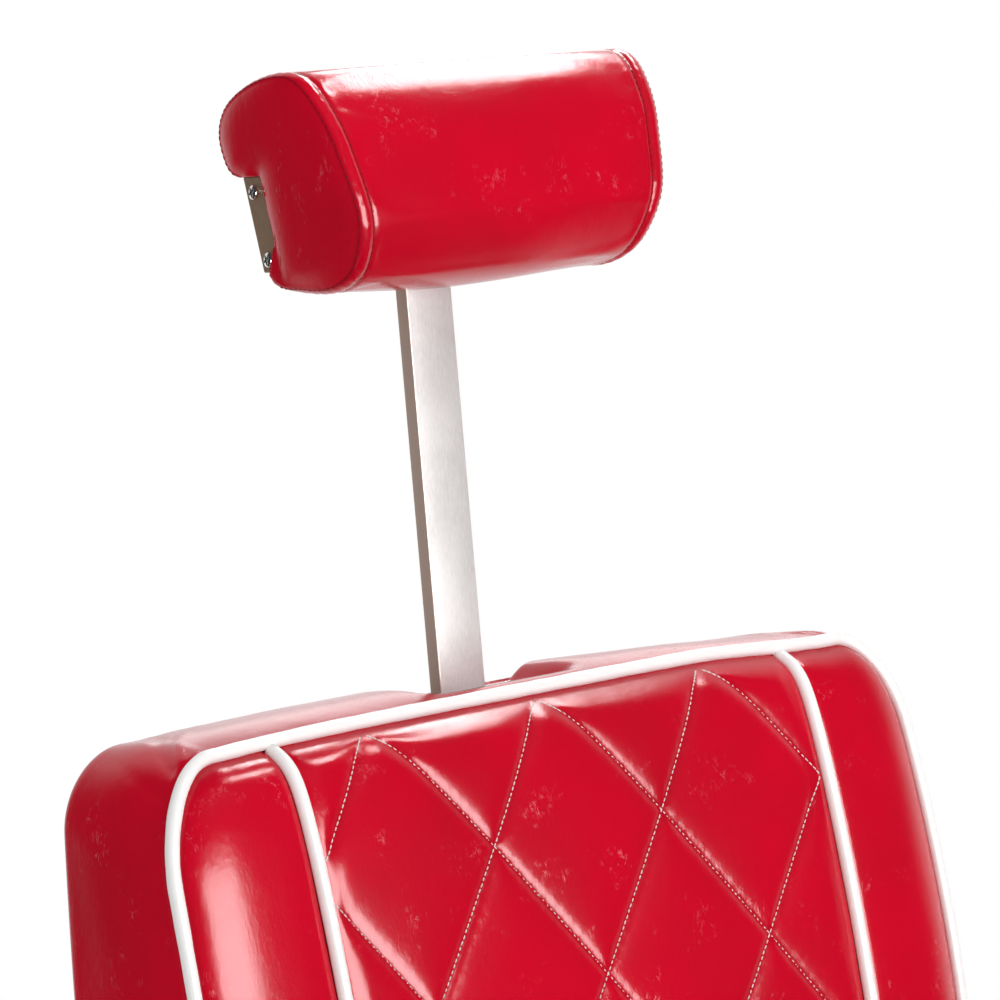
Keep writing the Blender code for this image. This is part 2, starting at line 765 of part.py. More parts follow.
def flared_box(name, low, high, surface, parent, bevel=0.0):
    bm = flared(box_bmesh(low, high))
    if bevel:
        bmesh.ops.bevel(bm, geom=bm.edges[:], offset=bevel, segments=1, affect="EDGES")
    return finish(name, bm, surface, parent)


def build_headrest_pad(parent):
    """The profile carried across the headrest, with slanted and slightly domed ends."""
    profile = head_profile()
    centre_h = sum(p[0] for p in profile) / len(profile)
    centre_k = sum(p[1] for p in profile) / len(profile)
    half = HEAD_HALF_WIDTH
    ends = [(half + HEAD_END_DOME, 0.45), (half + 0.8 * HEAD_END_DOME, 0.75), (half, 0.97)]
    ends.append((half - 5 * MM, 1.0))
    stations = [(-x, s) for x, s in ends] + [(0.0, 1.0)] + ends[::-1]
    bm = bmesh.new()
    rings = []
    for x, scale in stations:
        ring = []
        for h, k in profile:
            place = (x, centre_h + (h - centre_h) * scale, centre_k + (k - centre_k) * scale)
            ring.append(bm.verts.new(place))
        rings.append(ring)
    for near, far in zip(rings, rings[1:]):
        for i in range(len(profile)):
            j = (i + 1) % len(profile)
            bm.faces.new((near[i], near[j], far[j], far[i]))
    bm.faces.new(rings[0])
    bm.faces.new(rings[-1])
    return finish("headrest_pad", flared(bm), red_vinyl(), parent, smooth_angle=60)


# Base and pump

def build_base():
    """The weighted floor plate, the rubber ring round it and the cover over both."""
    thick = BASE_PLATE_THICKNESS
    profile = [(0, 0), (BASE_PLATE_RADIUS, 0), (BASE_PLATE_RADIUS, thick), (0, thick)]
    turned("base_plate", profile, black_steel(), 40)
    ring_inner = BASE_RADIUS - BASE_RING_WIDTH
    ring_outer = BASE_RADIUS + BASE_RING_PROUD
    tall = BASE_RING_HEIGHT
    ring = [(ring_inner, 0), (ring_outer, 0), (ring_outer, tall), (ring_inner, tall)]
    turned("base_ring", ring, rubber(), 40)
    build_base_cover()


def build_base_cover():
    """A spun dome that rises from a short upright rim to the pump."""
    hole = hole_radius(PUMP_RADIUS, 40)
    rim_z = BASE_RING_HEIGHT + GAP
    shoulder_z = rim_z + BASE_COVER_RIM
    steps = 8
    outer = [(BASE_RADIUS, rim_z)]
    for i in range(steps + 1):
        t = i / steps
        r = BASE_RADIUS + (hole - BASE_RADIUS) * t
        rise = math.sin(t * math.pi / 2) ** 0.8
        outer.append((r, shoulder_z + (BASE_COVER_HEIGHT - shoulder_z) * rise))
    inner = [(BASE_RADIUS - BASE_COVER_WALL, rim_z)]
    inner += [(min(r, BASE_RADIUS - BASE_COVER_WALL), z - BASE_COVER_WALL) for r, z in outer[1:]]
    turned("base_cover", outer + inner[::-1], chrome(), 40)


def build_pump():
    bottom = BASE_PLATE_THICKNESS + GAP
    bore = hole_radius(RAM_RADIUS, ROUND_SIDES)
    profile = [
        (0, bottom),
        (PUMP_FLANGE_RADIUS, bottom),
        (PUMP_FLANGE_RADIUS, bottom + PUMP_FLANGE_THICKNESS),
        (PUMP_RADIUS, bottom + PUMP_FLANGE_THICKNESS),
        (PUMP_RADIUS, PUMP_TOP),
        (bore, PUMP_TOP),
        (bore, PUMP_BORE_BOTTOM),
        (0, PUMP_BORE_BOTTOM),
    ]
    housing = turned("pump_housing", profile, black_steel())
    for side, word in ((-1, "front"), (1, "rear")):
        boolean(housing, build_pedal_ear(side, word), "UNION")
    gland = [(bore, 0), (GLAND_RADIUS, 0), (GLAND_RADIUS, 0.7 * GLAND_HEIGHT)]
    gland += [(GLAND_RADIUS - 4 * MM, GLAND_HEIGHT), (bore, GLAND_HEIGHT)]
    turned("pump_gland", gland, chrome(), place=Matrix.Translation((0, 0, PUMP_TOP + GAP)))
    build_ram()


def build_pedal_ear(side, word):
    """One of the two ears on the pump that hold the pedal's pin."""
    low = side * (PEDAL_WIDTH / 2 + GAP)
    high = side * (PEDAL_WIDTH / 2 + GAP + LUG_WIDTH)
    root = (-PUMP_RADIUS, PEDAL_PIVOT_Z, EAR_ROOT_RADIUS)
    discs = [root, (PEDAL_PIVOT_X, PEDAL_PIVOT_Z, EAR_EYE_RADIUS)]
    ear = hull_plate(f"pedal_ear_{word}", discs, low, high, black_steel(), axis="Y")
    start = (PEDAL_PIVOT_X, low - side * PEDAL_WIDTH / 4, PEDAL_PIVOT_Z)
    end = (PEDAL_PIVOT_X, high + side * CUT_OVER, PEDAL_PIVOT_Z)
    hole = rod(f"pedal_ear_hole_{word}", start, end, hole_radius(PEDAL_PIN_RADIUS), black_steel())
    return boolean(ear, hole)


def build_ram():
    """The lifting column: a polished ram with a collar, and the thrust bearing on the collar."""
    collar = RAM_RADIUS + RAM_COLLAR_WIDTH
    collar_top = BEARING_BOTTOM - GAP
    profile = [
        (0, RAM_BOTTOM),
        (RAM_RADIUS, RAM_BOTTOM),
        (RAM_RADIUS, collar_top - RAM_COLLAR_HEIGHT),
        (collar, collar_top - RAM_COLLAR_HEIGHT),
        (collar, collar_top),
        (RAM_RADIUS, collar_top),
        (RAM_RADIUS, RAM_TOP),
        (0, RAM_TOP),
    ]
    turned("ram", profile, chrome())
    bore = hole_radius(RAM_RADIUS, ROUND_SIDES)
    wide = HUB_RADIUS - HUB_BEARING_STEP
    ring = [(bore, 0), (wide, 0), (wide, BEARING_HEIGHT), (bore, BEARING_HEIGHT)]
    turned("thrust_bearing", ring, brushed_steel(), place=Matrix.Translation((0, 0, BEARING_BOTTOM)))


def build_pedal():
    """The pump's foot pedal, on a frame at its pivot."""
    axis = frame("pedal_axis", (PEDAL_PIVOT_X, 0, PEDAL_PIVOT_Z), 0)
    half = PEDAL_WIDTH / 2
    tip = (-PEDAL_REACH, -PEDAL_DROP, PEDAL_THICKNESS / 2)
    arm = hull_plate("pedal", [(0, 0, PEDAL_THICKNESS), tip], -half, half, black_steel(), axis, "Y")
    tread_x = -PEDAL_REACH - PEDAL_THICKNESS / 2
    tread_top = -PEDAL_DROP * (PEDAL_REACH - PEDAL_PAD_LENGTH) / PEDAL_REACH + PEDAL_THICKNESS
    low = (tread_x, -PEDAL_PAD_WIDTH / 2, -PEDAL_DROP + PEDAL_THICKNESS / 4)
    high = (tread_x + PEDAL_PAD_LENGTH, PEDAL_PAD_WIDTH / 2, tread_top)
    boolean(arm, box("pedal_tread", low, high, black_steel(), axis), "UNION")
    wide = 2 * half
    hole = hole_radius(PEDAL_PIN_RADIUS)
    boolean(arm, rod("pedal_hole", (0, -wide, 0), (0, wide, 0), hole, black_steel(), axis))
    pad_low = (low[0], low[1], tread_top + GAP)
    pad_high = (high[0], high[1], tread_top + GAP + PEDAL_PAD_THICKNESS)
    box("pedal_pad", pad_low, pad_high, rubber(), axis, bevel=2 * MM)
    reach = half + GAP + LUG_WIDTH + 2 * MM
    rod("pedal_pin", (0, -reach, 0), (0, reach, 0), PEDAL_PIN_RADIUS, brushed_steel(), axis)


# Seat

def build_hub():
    """The swivel hub: a cup over the ram's end with a flange that carries the seat."""
    bore = hole_radius(RAM_RADIUS, ROUND_SIDES)
    low = BEARING_BOTTOM + BEARING_HEIGHT + GAP
    inner_top = RAM_TOP + GAP
    flange_top = inner_top + HUB_FLANGE_THICKNESS
    profile = [
        (bore, low),
        (HUB_RADIUS, low),
        (HUB_RADIUS, inner_top - HUB_CHAMFER),
        (HUB_RADIUS + HUB_CHAMFER, inner_top),
        (HUB_FLANGE_RADIUS, inner_top),
        (HUB_FLANGE_RADIUS, flange_top),
        (0, flange_top),
        (0, inner_top),
        (bore, inner_top),
    ]
    turned("swivel_hub", profile, black_steel())


def build_seat_frame():
    """The plate on the hub, two side rails with their brackets, two cross rails and the seat board."""
    half = MOUNT_PLATE_WIDTH / 2
    deep = MOUNT_PLATE_DEPTH / 2
    low = (-half, -deep, MOUNT_PLATE_Z)
    box("mount_plate", low, (half, deep, MOUNT_PLATE_Z + MOUNT_PLATE_THICKNESS), black_steel(), bevel=2 * MM)
    top = RAIL_Z + RAIL_SIZE
    inner = RAIL_OUTER_X - RAIL_SIZE
    for side, word in ((-1, "right"), (1, "left")):
        xs = sorted((side * inner, side * RAIL_OUTER_X))
        low = (xs[0], RAIL_FRONT_Y, RAIL_Z)
        box(f"rail_{word}", low, (xs[1], RAIL_REAR_Y, top), black_steel(), bevel=3 * MM)
        build_brackets(side, word)
    for y, word in ((CROSS_RAIL_FRONT_Y, "front"), (CROSS_RAIL_REAR_Y, "rear")):
        low = (-inner + GAP, y - RAIL_SIZE / 2, RAIL_Z)
        high = (inner - GAP, y + RAIL_SIZE / 2, top)
        box(f"cross_rail_{word}", low, high, black_steel(), bevel=3 * MM)
    board_x = SEAT_HALF_WIDTH - SEAT_BOARD_INSET
    low = (-board_x, SEAT_FRONT_Y + SEAT_BOARD_INSET, SEAT_BOARD_Z)
    high = (board_x, SEAT_REAR_Y - SEAT_BOARD_INSET, SEAT_BOARD_Z + SEAT_BOARD_THICKNESS)
    box("seat_board", low, high, plywood(), bevel=2 * MM)


def build_brackets(side, word):
    """The plates on a side rail that carry the torque tube and the leg rest's axle."""
    x0 = side * BRACKET_X
    x1 = side * (BRACKET_X + BRACKET_THICKNESS)
    middle = RAIL_Z + RAIL_SIZE / 2
    lap = BRACKET_LAP
    half = RAIL_SIZE / 2
    plans = (
        ("back", HINGE_Y, HINGE_Z, HINGE_BOSS_RADIUS, TORQUE_TUBE_RADIUS, RAIL_REAR_Y - lap),
        ("leg", LEG_Y, LEG_Z, LEG_BOSS_RADIUS, LEG_AXLE_RADIUS, RAIL_FRONT_Y + lap),
    )
    for kind, y, z, boss, shaft, end_y in plans:
        name = f"{kind}_bracket_{word}"
        plate = hull_plate(name, [(y, z, boss), (end_y, middle, half)], x0, x1, black_steel())
        far = side * (BRACKET_X + 2 * BRACKET_THICKNESS)
        near = side * (BRACKET_X - BRACKET_THICKNESS)
        bore = hole_radius(shaft, ROUND_SIDES)
        hole = rod(name + "_hole", (near, y, z), (far, y, z), bore, black_steel(), sides=ROUND_SIDES)
        boolean(plate, hole)


def build_seat_cushion():
    half_v = (SEAT_REAR_Y - SEAT_FRONT_Y) / 2
    cushion = PipedCushion(SEAT_HALF_WIDTH, half_v, (SEAT_CORNER, SEAT_CORNER, SEAT_CORNER), 0, seat_seam)
    place = Matrix.Translation((0, SEAT_FRONT_Y + half_v, SEAT_CUSHION_Z))
    piped_cushion_objects(cushion, "seat", place, None)


def build_arms():
    """A bent tube from rail to rail on each side, with a pad on its top run."""
    foot_z = RAIL_Z + RAIL_SIZE / 2
    middle_y = (ARM_FRONT_Y + ARM_REAR_Y) / 2
    for side, word in ((-1, "right"), (1, "left")):
        foot_x = side * (RAIL_OUTER_X + GAP)
        x = side * ARM_X
        corners = [
            (foot_x, ARM_FRONT_Y, foot_z),
            (x, ARM_FRONT_Y, foot_z),
            (x, ARM_FRONT_Y, ARM_TOP_Z),
            (x, ARM_REAR_Y, ARM_TOP_Z),
            (x, ARM_REAR_Y, foot_z),
            (foot_x, ARM_REAR_Y, foot_z),
        ]
        path = filleted(corners, [ARM_FOOT_BEND, ARM_TOP_BEND, ARM_TOP_BEND, ARM_FOOT_BEND])
        tube(f"arm_tube_{word}", path, ARM_TUBE_RADIUS, chrome(), resolution=3)
        low_z = ARM_TOP_Z + ARM_TUBE_RADIUS + GAP
        low = (x - ARM_PAD_WIDTH / 2, middle_y - ARM_PAD_LENGTH / 2, low_z)
        high = (x + ARM_PAD_WIDTH / 2, middle_y + ARM_PAD_LENGTH / 2, low_z + ARM_PAD_HEIGHT)
        soft_block(f"arm_pad_{word}", low, high, red_vinyl())


# Recline lock and lever

def build_lock():
    """A lock cylinder under the seat; its rod's cross pin runs in the slotted lug of the torque tube."""
    length = LOCK_BARREL_REAR_Y - LOCK_BARREL_FRONT_Y
    bore = hole_radius(LOCK_ROD_RADIUS)
    wall = LOCK_BARREL_END
    profile = [
        (0, 0),
        (LOCK_BARREL_RADIUS, 0),
        (LOCK_BARREL_RADIUS, length),
        (bore, length),
        (bore, wall),
        (0, wall),
    ]
    along_y = Matrix.Rotation(-math.pi / 2, 4, "X")
    place = Matrix.Translation((LOCK_X, LOCK_BARREL_FRONT_Y, LOCK_Z)) @ along_y
    turned("lock_barrel", profile, chrome(), PIN_SIDES, place)
    half = LOCK_BARREL_RADIUS + LOCK_CLAMP_WALL
    low = (LOCK_X - half, LOCK_CLAMP_Y - LOCK_CLAMP_LENGTH / 2, LOCK_Z - half)
    high = (LOCK_X + half, LOCK_CLAMP_Y + LOCK_CLAMP_LENGTH / 2, MOUNT_PLATE_Z - GAP)
    clamp = box("lock_clamp", low, high, black_steel(), bevel=1.5 * MM)
    start = (LOCK_X, LOCK_BARREL_FRONT_Y, LOCK_Z)
    end = (LOCK_X, LOCK_BARREL_REAR_Y, LOCK_Z)
    boolean(clamp, rod("lock_clamp_bore", start, end, hole_radius(LOCK_BARREL_RADIUS), black_steel()))
    build_lock_rod()


def build_lock_rod():
    """The sliding rod with the fork that straddles the lug, and the pin across the fork."""
    inner = LOCK_LUG_THICKNESS / 2 + 2 * GAP
    outer = inner + LOCK_FORK_WALL
    cheek = LOCK_PIN_RADIUS + LOCK_FORK_MARGIN
    bridge = LOCK_LUG_RADIUS + LOCK_FORK_BRIDGE
    front = LOCK_PIN_Y - bridge - LOCK_FORK_BRIDGE
    low = (LOCK_X - outer, front, LOCK_Z - cheek)
    high = (LOCK_X + outer, LOCK_PIN_Y + cheek, LOCK_Z + cheek)
    fork = box("lock_rod", low, high, brushed_steel(), bevel=1 * MM)
    gap_low = (LOCK_X - inner, LOCK_PIN_Y - bridge, LOCK_Z - 2 * cheek)
    gap_high = (LOCK_X + inner, LOCK_PIN_Y + 2 * cheek, LOCK_Z + 2 * cheek)
    boolean(fork, box("lock_fork_gap", gap_low, gap_high, brushed_steel()))
    start = (LOCK_X, LOCK_BARREL_REAR_Y - LOCK_ROD_INSERTED, LOCK_Z)
    shank = rod("lock_shank", start, (LOCK_X, front + LOCK_FORK_BRIDGE / 2, LOCK_Z), LOCK_ROD_RADIUS, brushed_steel())
    boolean(fork, shank, "UNION")
    reach = outer + LOCK_PIN_OVER
    pin_start = (LOCK_X - reach, LOCK_PIN_Y, LOCK_Z)
    pin_end = (LOCK_X + reach, LOCK_PIN_Y, LOCK_Z)
    boolean(fork, rod("lock_pin", pin_start, pin_end, LOCK_PIN_RADIUS, brushed_steel()), "UNION")


def build_lever():
    """The hand lever that frees the lock, on a frame at its shaft, which turns in the right rail."""
    axis = frame("lever_axis", (0, LEVER_Y, LEVER_Z), 0)
    discs = [(0, 0, LEVER_BOSS_RADIUS), (-LEVER_LENGTH, 0, LEVER_TIP_RADIUS)]
    handle = hull_plate("lever", discs, -LEVER_X, -LEVER_X - LEVER_THICKNESS, chrome(), axis)
    start = (-RAIL_OUTER_X + LEVER_SHAFT_DEPTH, 0, 0)
    end = (-LEVER_X - LEVER_THICKNESS / 2, 0, 0)
    boolean(handle, rod("lever_shaft", start, end, LEVER_SHAFT_RADIUS, chrome(), axis), "UNION")
    knob_x = -LEVER_X - LEVER_THICKNESS - GAP
    r = LEVER_KNOB_RADIUS
    profile = [(0, 0), (0.7 * r, 0), (r, 0.25 * LEVER_KNOB_LENGTH), (r, 0.8 * LEVER_KNOB_LENGTH)]
    profile += [(0.6 * r, LEVER_KNOB_LENGTH), (0, LEVER_KNOB_LENGTH)]
    outwards = Matrix.Rotation(-math.pi / 2, 4, "Y")
    place = Matrix.Translation((knob_x, -LEVER_LENGTH, 0)) @ outwards
    turned("lever_knob", profile, rubber(), PIN_SIDES, place, axis)
    hole_start = (-RAIL_OUTER_X + LEVER_SHAFT_DEPTH + GAP, LEVER_Y, LEVER_Z)
    hole_end = (-LEVER_X, LEVER_Y, LEVER_Z)
    hole = rod("lever_hole", hole_start, hole_end, hole_radius(LEVER_SHAFT_RADIUS), black_steel())
    boolean(bpy.data.objects["rail_right"], hole)


# Back rest

def back_offset(y, z):
    """A world offset from the recline axis as (n, u) of the leaning back."""
    n = y * math.cos(BACK_LEAN) - z * math.sin(BACK_LEAN)
    u = y * math.sin(BACK_LEAN) + z * math.cos(BACK_LEAN)
    return n, u


def build_back(axis):
    """The cushion with a pocket in its rear for the board, the post's socket and the back arms."""
    half_v = BACK_HEIGHT / 2
    corners = (BACK_CORNER, BACK_BOTTOM_CORNER, BACK_TOP_CORNER)
    cushion = PipedCushion(BACK_HALF_WIDTH, half_v, corners, -RIM_N, back_seam, BACK_TAPER)
    place = Matrix.Translation((0, 0, BACK_MIDDLE_U)) @ Matrix.Rotation(math.pi / 2, 4, "X")
    pad = piped_cushion_objects(cushion, "back", place, axis)
    front = BOARD_REAR_N - BACK_BOARD_THICKNESS
    inner_x = BACK_HALF_WIDTH - BACK_WALL
    low = BACK_BOTTOM_U + BACK_WALL
    high = BACK_TOP_U - BACK_WALL
    corner = BACK_CORNER - BACK_WALL
    pocket = rounded_discs(inner_x, low, high, corner)
    behind = RIM_N + CUT_OVER
    boolean(pad, hull_plate("back_pocket", pocket, front - GAP, behind, red_vinyl(), axis, "Y"))
    slot_x = SOCKET_SIDE + GAP
    slot_low = (-slot_x, BOARD_REAR_N, high - 5 * MM)
    boolean(pad, box("back_post_slot", slot_low, (slot_x, behind, BACK_TOP_U + CUT_OVER), red_vinyl(), axis))
    plate_x = POST_PLATE_WIDTH / 2 + GAP
    plate_low = (-plate_x, POST_N - POST_PLATE_DEPTH, PLATE_U - POST_PLATE_THICKNESS - GAP)
    plate_high = (plate_x, behind, BACK_TOP_U + CUT_OVER)
    boolean(pad, box("back_plate_seat", plate_low, plate_high, red_vinyl(), axis))
    for side, word in ((-1, "right"), (1, "left")):
        xs = sorted((side * (ARM_PLATE_X - GAP), side * (ARM_PLATE_X + BACK_ARM_THICKNESS + GAP)))
        notch_low = (xs[0], BOARD_REAR_N, BACK_BOTTOM_U - CUT_OVER)
        notch = box(f"back_arm_notch_{word}", notch_low, (xs[1], behind, low + 5 * MM), red_vinyl(), axis)
        boolean(pad, notch)
    board = rounded_discs(inner_x - GAP, low + GAP, high - GAP, corner - GAP)
    hull_plate("back_board", board, front, BOARD_REAR_N, plywood(), axis, "Y")
    inset = REAR_PANEL_INSET
    panel_x = BACK_HALF_WIDTH - inset
    panel = rounded_discs(panel_x, BACK_BOTTOM_U + inset, BACK_TOP_U - inset, BACK_CORNER - inset)
    panel_n = RIM_N + GAP
    hull_plate("back_rear_panel", panel, panel_n, panel_n + REAR_PANEL_THICKNESS, red_vinyl(), axis, "Y")
    build_back_arms(axis)
    build_torque_tube(axis)
    build_post_socket(axis)


def build_back_arms(axis):
    """Steel arms up the rear of the board, each with a crank and its pin below the recline axis."""
    crank = back_offset(0, -CRANK_LENGTH)
    deep = SOCKET_OUTER
    for side, word in ((-1, "right"), (1, "left")):
        x0 = side * ARM_PLATE_X
        x1 = side * (ARM_PLATE_X + BACK_ARM_THICKNESS)
        name = f"back_arm_{word}"
        elbow = (POST_N, BACK_BOTTOM_U - deep - 7 * MM, deep)
        arm = hull_plate(name, [elbow, (POST_N, BACK_ARM_TOP_U, deep)], x0, x1, black_steel(), axis)
        knee = hull_plate(name + "_knee", [(0, 0, HINGE_BOSS_RADIUS), elbow], x0, x1, black_steel(), axis)
        boolean(arm, knee, "UNION")
        crank_discs = [(0, 0, HINGE_BOSS_RADIUS), (*crank, 2 * LINK_PIN_RADIUS + 2 * MM)]
        boolean(arm, hull_plate(name + "_crank", crank_discs, x0, x1, black_steel(), axis), "UNION")
        boolean(arm, link_pin(name + "_pin", side, crank, axis), "UNION")


def pin_hole(name, side, centre, parent):
    start = (side * (ARM_PLATE_X - BACK_ARM_THICKNESS), *centre)
    end = (side * (LINK_X + 2 * LINK_THICKNESS), *centre)
    return rod(name, start, end, hole_radius(LINK_PIN_RADIUS), black_steel(), parent)


def link_pin(name, side, centre, parent):
    """A headed pin, welded into a crank, that a link rod turns on."""
    start = ARM_PLATE_X + BACK_ARM_THICKNESS / 2
    shank = LINK_X + LINK_THICKNESS + 2 * GAP - start
    head = 1.5 * LINK_PIN_RADIUS
    end = shank + LINK_PIN_HEAD
    profile = [(0, 0), (LINK_PIN_RADIUS, 0), (LINK_PIN_RADIUS, shank), (head, shank)]
    profile += [(head, shank + 0.6 * LINK_PIN_HEAD), (0.7 * head, end), (0, end)]
    outwards = Matrix.Rotation(side * math.pi / 2, 4, "Y")
    place = Matrix.Translation((side * start, *centre)) @ outwards
    return turned(name, profile, brushed_steel(), PIN_SIDES, place, parent)


def build_torque_tube(axis):
    """The shaft of the recline hinge with the slotted lug of the lock."""
    end = ARM_PLATE_X - GAP
    radius = TORQUE_TUBE_RADIUS
    shaft = rod("torque_tube", (-end, 0, 0), (end, 0, 0), radius, black_steel(), axis, ROUND_SIDES)
    ray = back_offset(math.sin(LOCK_SWING), -math.cos(LOCK_SWING))
    near = LOCK_ARM - GAP
    far = LOCK_ARM / math.cos(LOCK_SWING) + GAP
    x0 = LOCK_X - LOCK_LUG_THICKNESS / 2
    x1 = LOCK_X + LOCK_LUG_THICKNESS / 2
    lug_discs = [(0, 0, radius + 5 * MM), (ray[0] * far, ray[1] * far, LOCK_LUG_RADIUS)]
    boolean(shaft, hull_plate("lock_lug", lug_discs, x0, x1, black_steel(), axis), "UNION")
    slot_radius = LOCK_PIN_RADIUS + LOCK_SLOT_PLAY
    slot_discs = [(ray[0] * r, ray[1] * r, slot_radius) for r in (near, far)]
    slot = hull_plate("lock_slot", slot_discs, x0 - 5 * MM, x1 + 5 * MM, black_steel(), axis)
    boolean(shaft, slot)


def build_post_socket(axis):
    """The plate, socket and liner that guide the headrest post."""
    side = (POST_WIDTH - POST_THICKNESS) / 2
    top = PLATE_U - POST_PLATE_THICKNESS - GAP
    bottom = top - SOCKET_LENGTH
    low = (-SOCKET_OUTER - side, POST_N - SOCKET_OUTER, bottom)
    high = (SOCKET_OUTER + side, POST_N + SOCKET_OUTER, top)
    socket = box("post_socket", low, high, brushed_steel(), axis, bevel=1 * MM)
    guide_low = (-SOCKET_INNER - side, POST_N - SOCKET_INNER, top - LINER_LENGTH - GAP)
    guide_high = (SOCKET_INNER + side, POST_N + SOCKET_INNER, top + 5 * MM)
    boolean(socket, box("post_socket_mouth", guide_low, guide_high, brushed_steel(), axis))
    bore_low = (-LINER_INNER - side, POST_N - LINER_INNER, bottom - 5 * MM)
    bore_high = (LINER_INNER + side, POST_N + LINER_INNER, top + 10 * MM)
    boolean(socket, box("post_socket_bore", bore_low, bore_high, brushed_steel(), axis))
    liner_low = (-LINER_OUTER - side, POST_N - LINER_OUTER, top - LINER_LENGTH)
    liner_high = (LINER_OUTER + side, POST_N + LINER_OUTER, top)
    liner = box("post_liner", liner_low, liner_high, nylon(), axis)
    boolean(liner, box("post_liner_bore", bore_low, bore_high, nylon(), axis))
    plate_low = (-POST_PLATE_WIDTH / 2, RIM_N - POST_PLATE_DEPTH, PLATE_U - POST_PLATE_THICKNESS)
    plate_high = (POST_PLATE_WIDTH / 2, RIM_N, PLATE_U)
    plate = box("post_plate", plate_low, plate_high, chrome(), axis, bevel=0.6 * MM)
    boolean(plate, box("post_plate_slot", bore_low, bore_high, chrome(), axis))


# Headrest

def build_headrest(back_axis):
    """The post, and the pad, board and strap in a frame at the pad's lower edge."""
    head = frame("headrest_frame", (0, POST_N, PLATE_U + POST_EXPOSED), 0, back_axis)
    wide = POST_WIDTH / 2
    thick = POST_THICKNESS / 2
    post_low = (-wide, -thick, -POST_EXPOSED - POST_INSERTED)
    box("headrest_post", post_low, (wide, thick, POST_TAIL), brushed_steel(), head, bevel=0.6 * MM)
    build_headrest_pad(head)
    pad = bpy.data.objects["headrest_pad"]
    entry_low = (-wide - GAP, head_front() - GAP, -CUT_OVER)
    entry_high = (wide + GAP, thick + CUT_OVER, HEAD_BOARD_BOTTOM + 2 * MM)
    boolean(pad, box("headrest_pad_entry", entry_low, entry_high, red_vinyl(), head))
    bottom = HEAD_BOARD_BOTTOM
    top = bottom + HEAD_BOARD_HEIGHT
    front = head_front()
    rear = front + HEAD_BOARD_THICKNESS
    board_x = HEAD_HALF_WIDTH - HEAD_STRAP_WALL - 2 * GAP
    board_low = (-board_x, front, bottom)
    board = flared_box("headrest_board", board_low, (board_x, rear, top), plywood(), head, 1 * MM)
    slot_x = wide + GAP
    slot_low = (-slot_x, front - 5 * MM, bottom - 5 * MM)
    slot_high = (slot_x, rear + 5 * MM, POST_TAIL + GAP)
    boolean(board, box("headrest_board_slot", slot_low, slot_high, plywood(), head))
    build_headrest_strap(head, board_x, bottom - HEAD_STRAP_MARGIN, top + HEAD_STRAP_MARGIN, rear)


def build_headrest_strap(head, board_x, low_k, high_k, rear):
    """The steel strap: a back plate with a flange over each end of the board."""
    inner = board_x + GAP
    outer = inner + HEAD_STRAP_WALL
    low = (-outer, head_front(), low_k)
    high = (outer, rear + GAP + HEAD_STRAP_WALL, high_k)
    strap = flared_box("headrest_strap", low, high, brushed_steel(), head, bevel=0.6 * MM)
    inside_low = (-inner, head_front() - 5 * MM, low_k - 5 * MM)
    inside_high = (inner, rear + GAP, high_k + 5 * MM)
    boolean(strap, flared_box("headrest_strap_inside", inside_low, inside_high, brushed_steel(), head))


# Leg rest and linkage

def leg_offset(y, z):
    """A world offset from the leg rest's axis as (y, z) of its leaning frame."""
    ly = y * math.cos(LEG_LEAN) - z * math.sin(LEG_LEAN)
    lz = y * math.sin(LEG_LEAN) + z * math.cos(LEG_LEAN)
    return ly, lz


def build_leg_rest():
    """The axle with its two arms and their cranks, and the board, pad and foot plate that they carry."""
    axis = frame("leg_axis", (0, LEG_Y, LEG_Z), LEG_LEAN)
    end = ARM_PLATE_X - GAP
    rod("leg_axle", (-end, 0, 0), (end, 0, 0), LEG_AXLE_RADIUS, black_steel(), axis, ROUND_SIDES)
    crank = leg_offset(0, -CRANK_LENGTH)
    half = LEG_ARM_WIDTH / 2
    middle = LEG_BOARD_THICKNESS / 2
    for side, word in ((-1, "right"), (1, "left")):
        x0 = side * ARM_PLATE_X
        x1 = side * (ARM_PLATE_X + BACK_ARM_THICKNESS)
        name = f"leg_arm_{word}"
        discs = [(0, 0, LEG_BOSS_RADIUS), (middle, -LEG_LENGTH + half, half)]
        arm = hull_plate(name, discs, x0, x1, black_steel(), axis)
        crank_discs = [(0, 0, LEG_BOSS_RADIUS), (*crank, 2 * LINK_PIN_RADIUS + 2 * MM)]
        boolean(arm, hull_plate(name + "_crank", crank_discs, x0, x1, black_steel(), axis), "UNION")
        boolean(arm, link_pin(name + "_pin", side, crank, axis), "UNION")
    low = (-end, 0, -LEG_LENGTH)
    box("leg_board", low, (end, LEG_BOARD_THICKNESS, -LEG_BOARD_TOP), plywood(), axis, bevel=2 * MM)
    pad_low = (-LEG_PAD_HALF_WIDTH, -LEG_PAD_THICKNESS, -LEG_LENGTH + 14 * MM)
    pad_high = (LEG_PAD_HALF_WIDTH, -GAP, -LEG_BOARD_TOP - 15 * MM)
    soft_block("leg_pad", pad_low, pad_high, red_vinyl(), axis, power=9)
    plate_top = -LEG_LENGTH - GAP
    wide = FOOT_PLATE_HALF_WIDTH
    plate_low = (-wide, -FOOT_PLATE_DEPTH, plate_top - FOOT_PLATE_THICKNESS)
    box("foot_plate", plate_low, (wide, LEG_BOARD_THICKNESS, plate_top), chrome(), axis, bevel=2 * MM)
    margin = FOOT_MAT_MARGIN
    mat_low = (-wide + margin, -FOOT_PLATE_DEPTH + margin, plate_top + GAP)
    mat_high = (wide - margin, -GAP, plate_top + GAP + FOOT_MAT_THICKNESS)
    box("foot_mat", mat_low, mat_high, rubber(), axis, bevel=1 * MM)


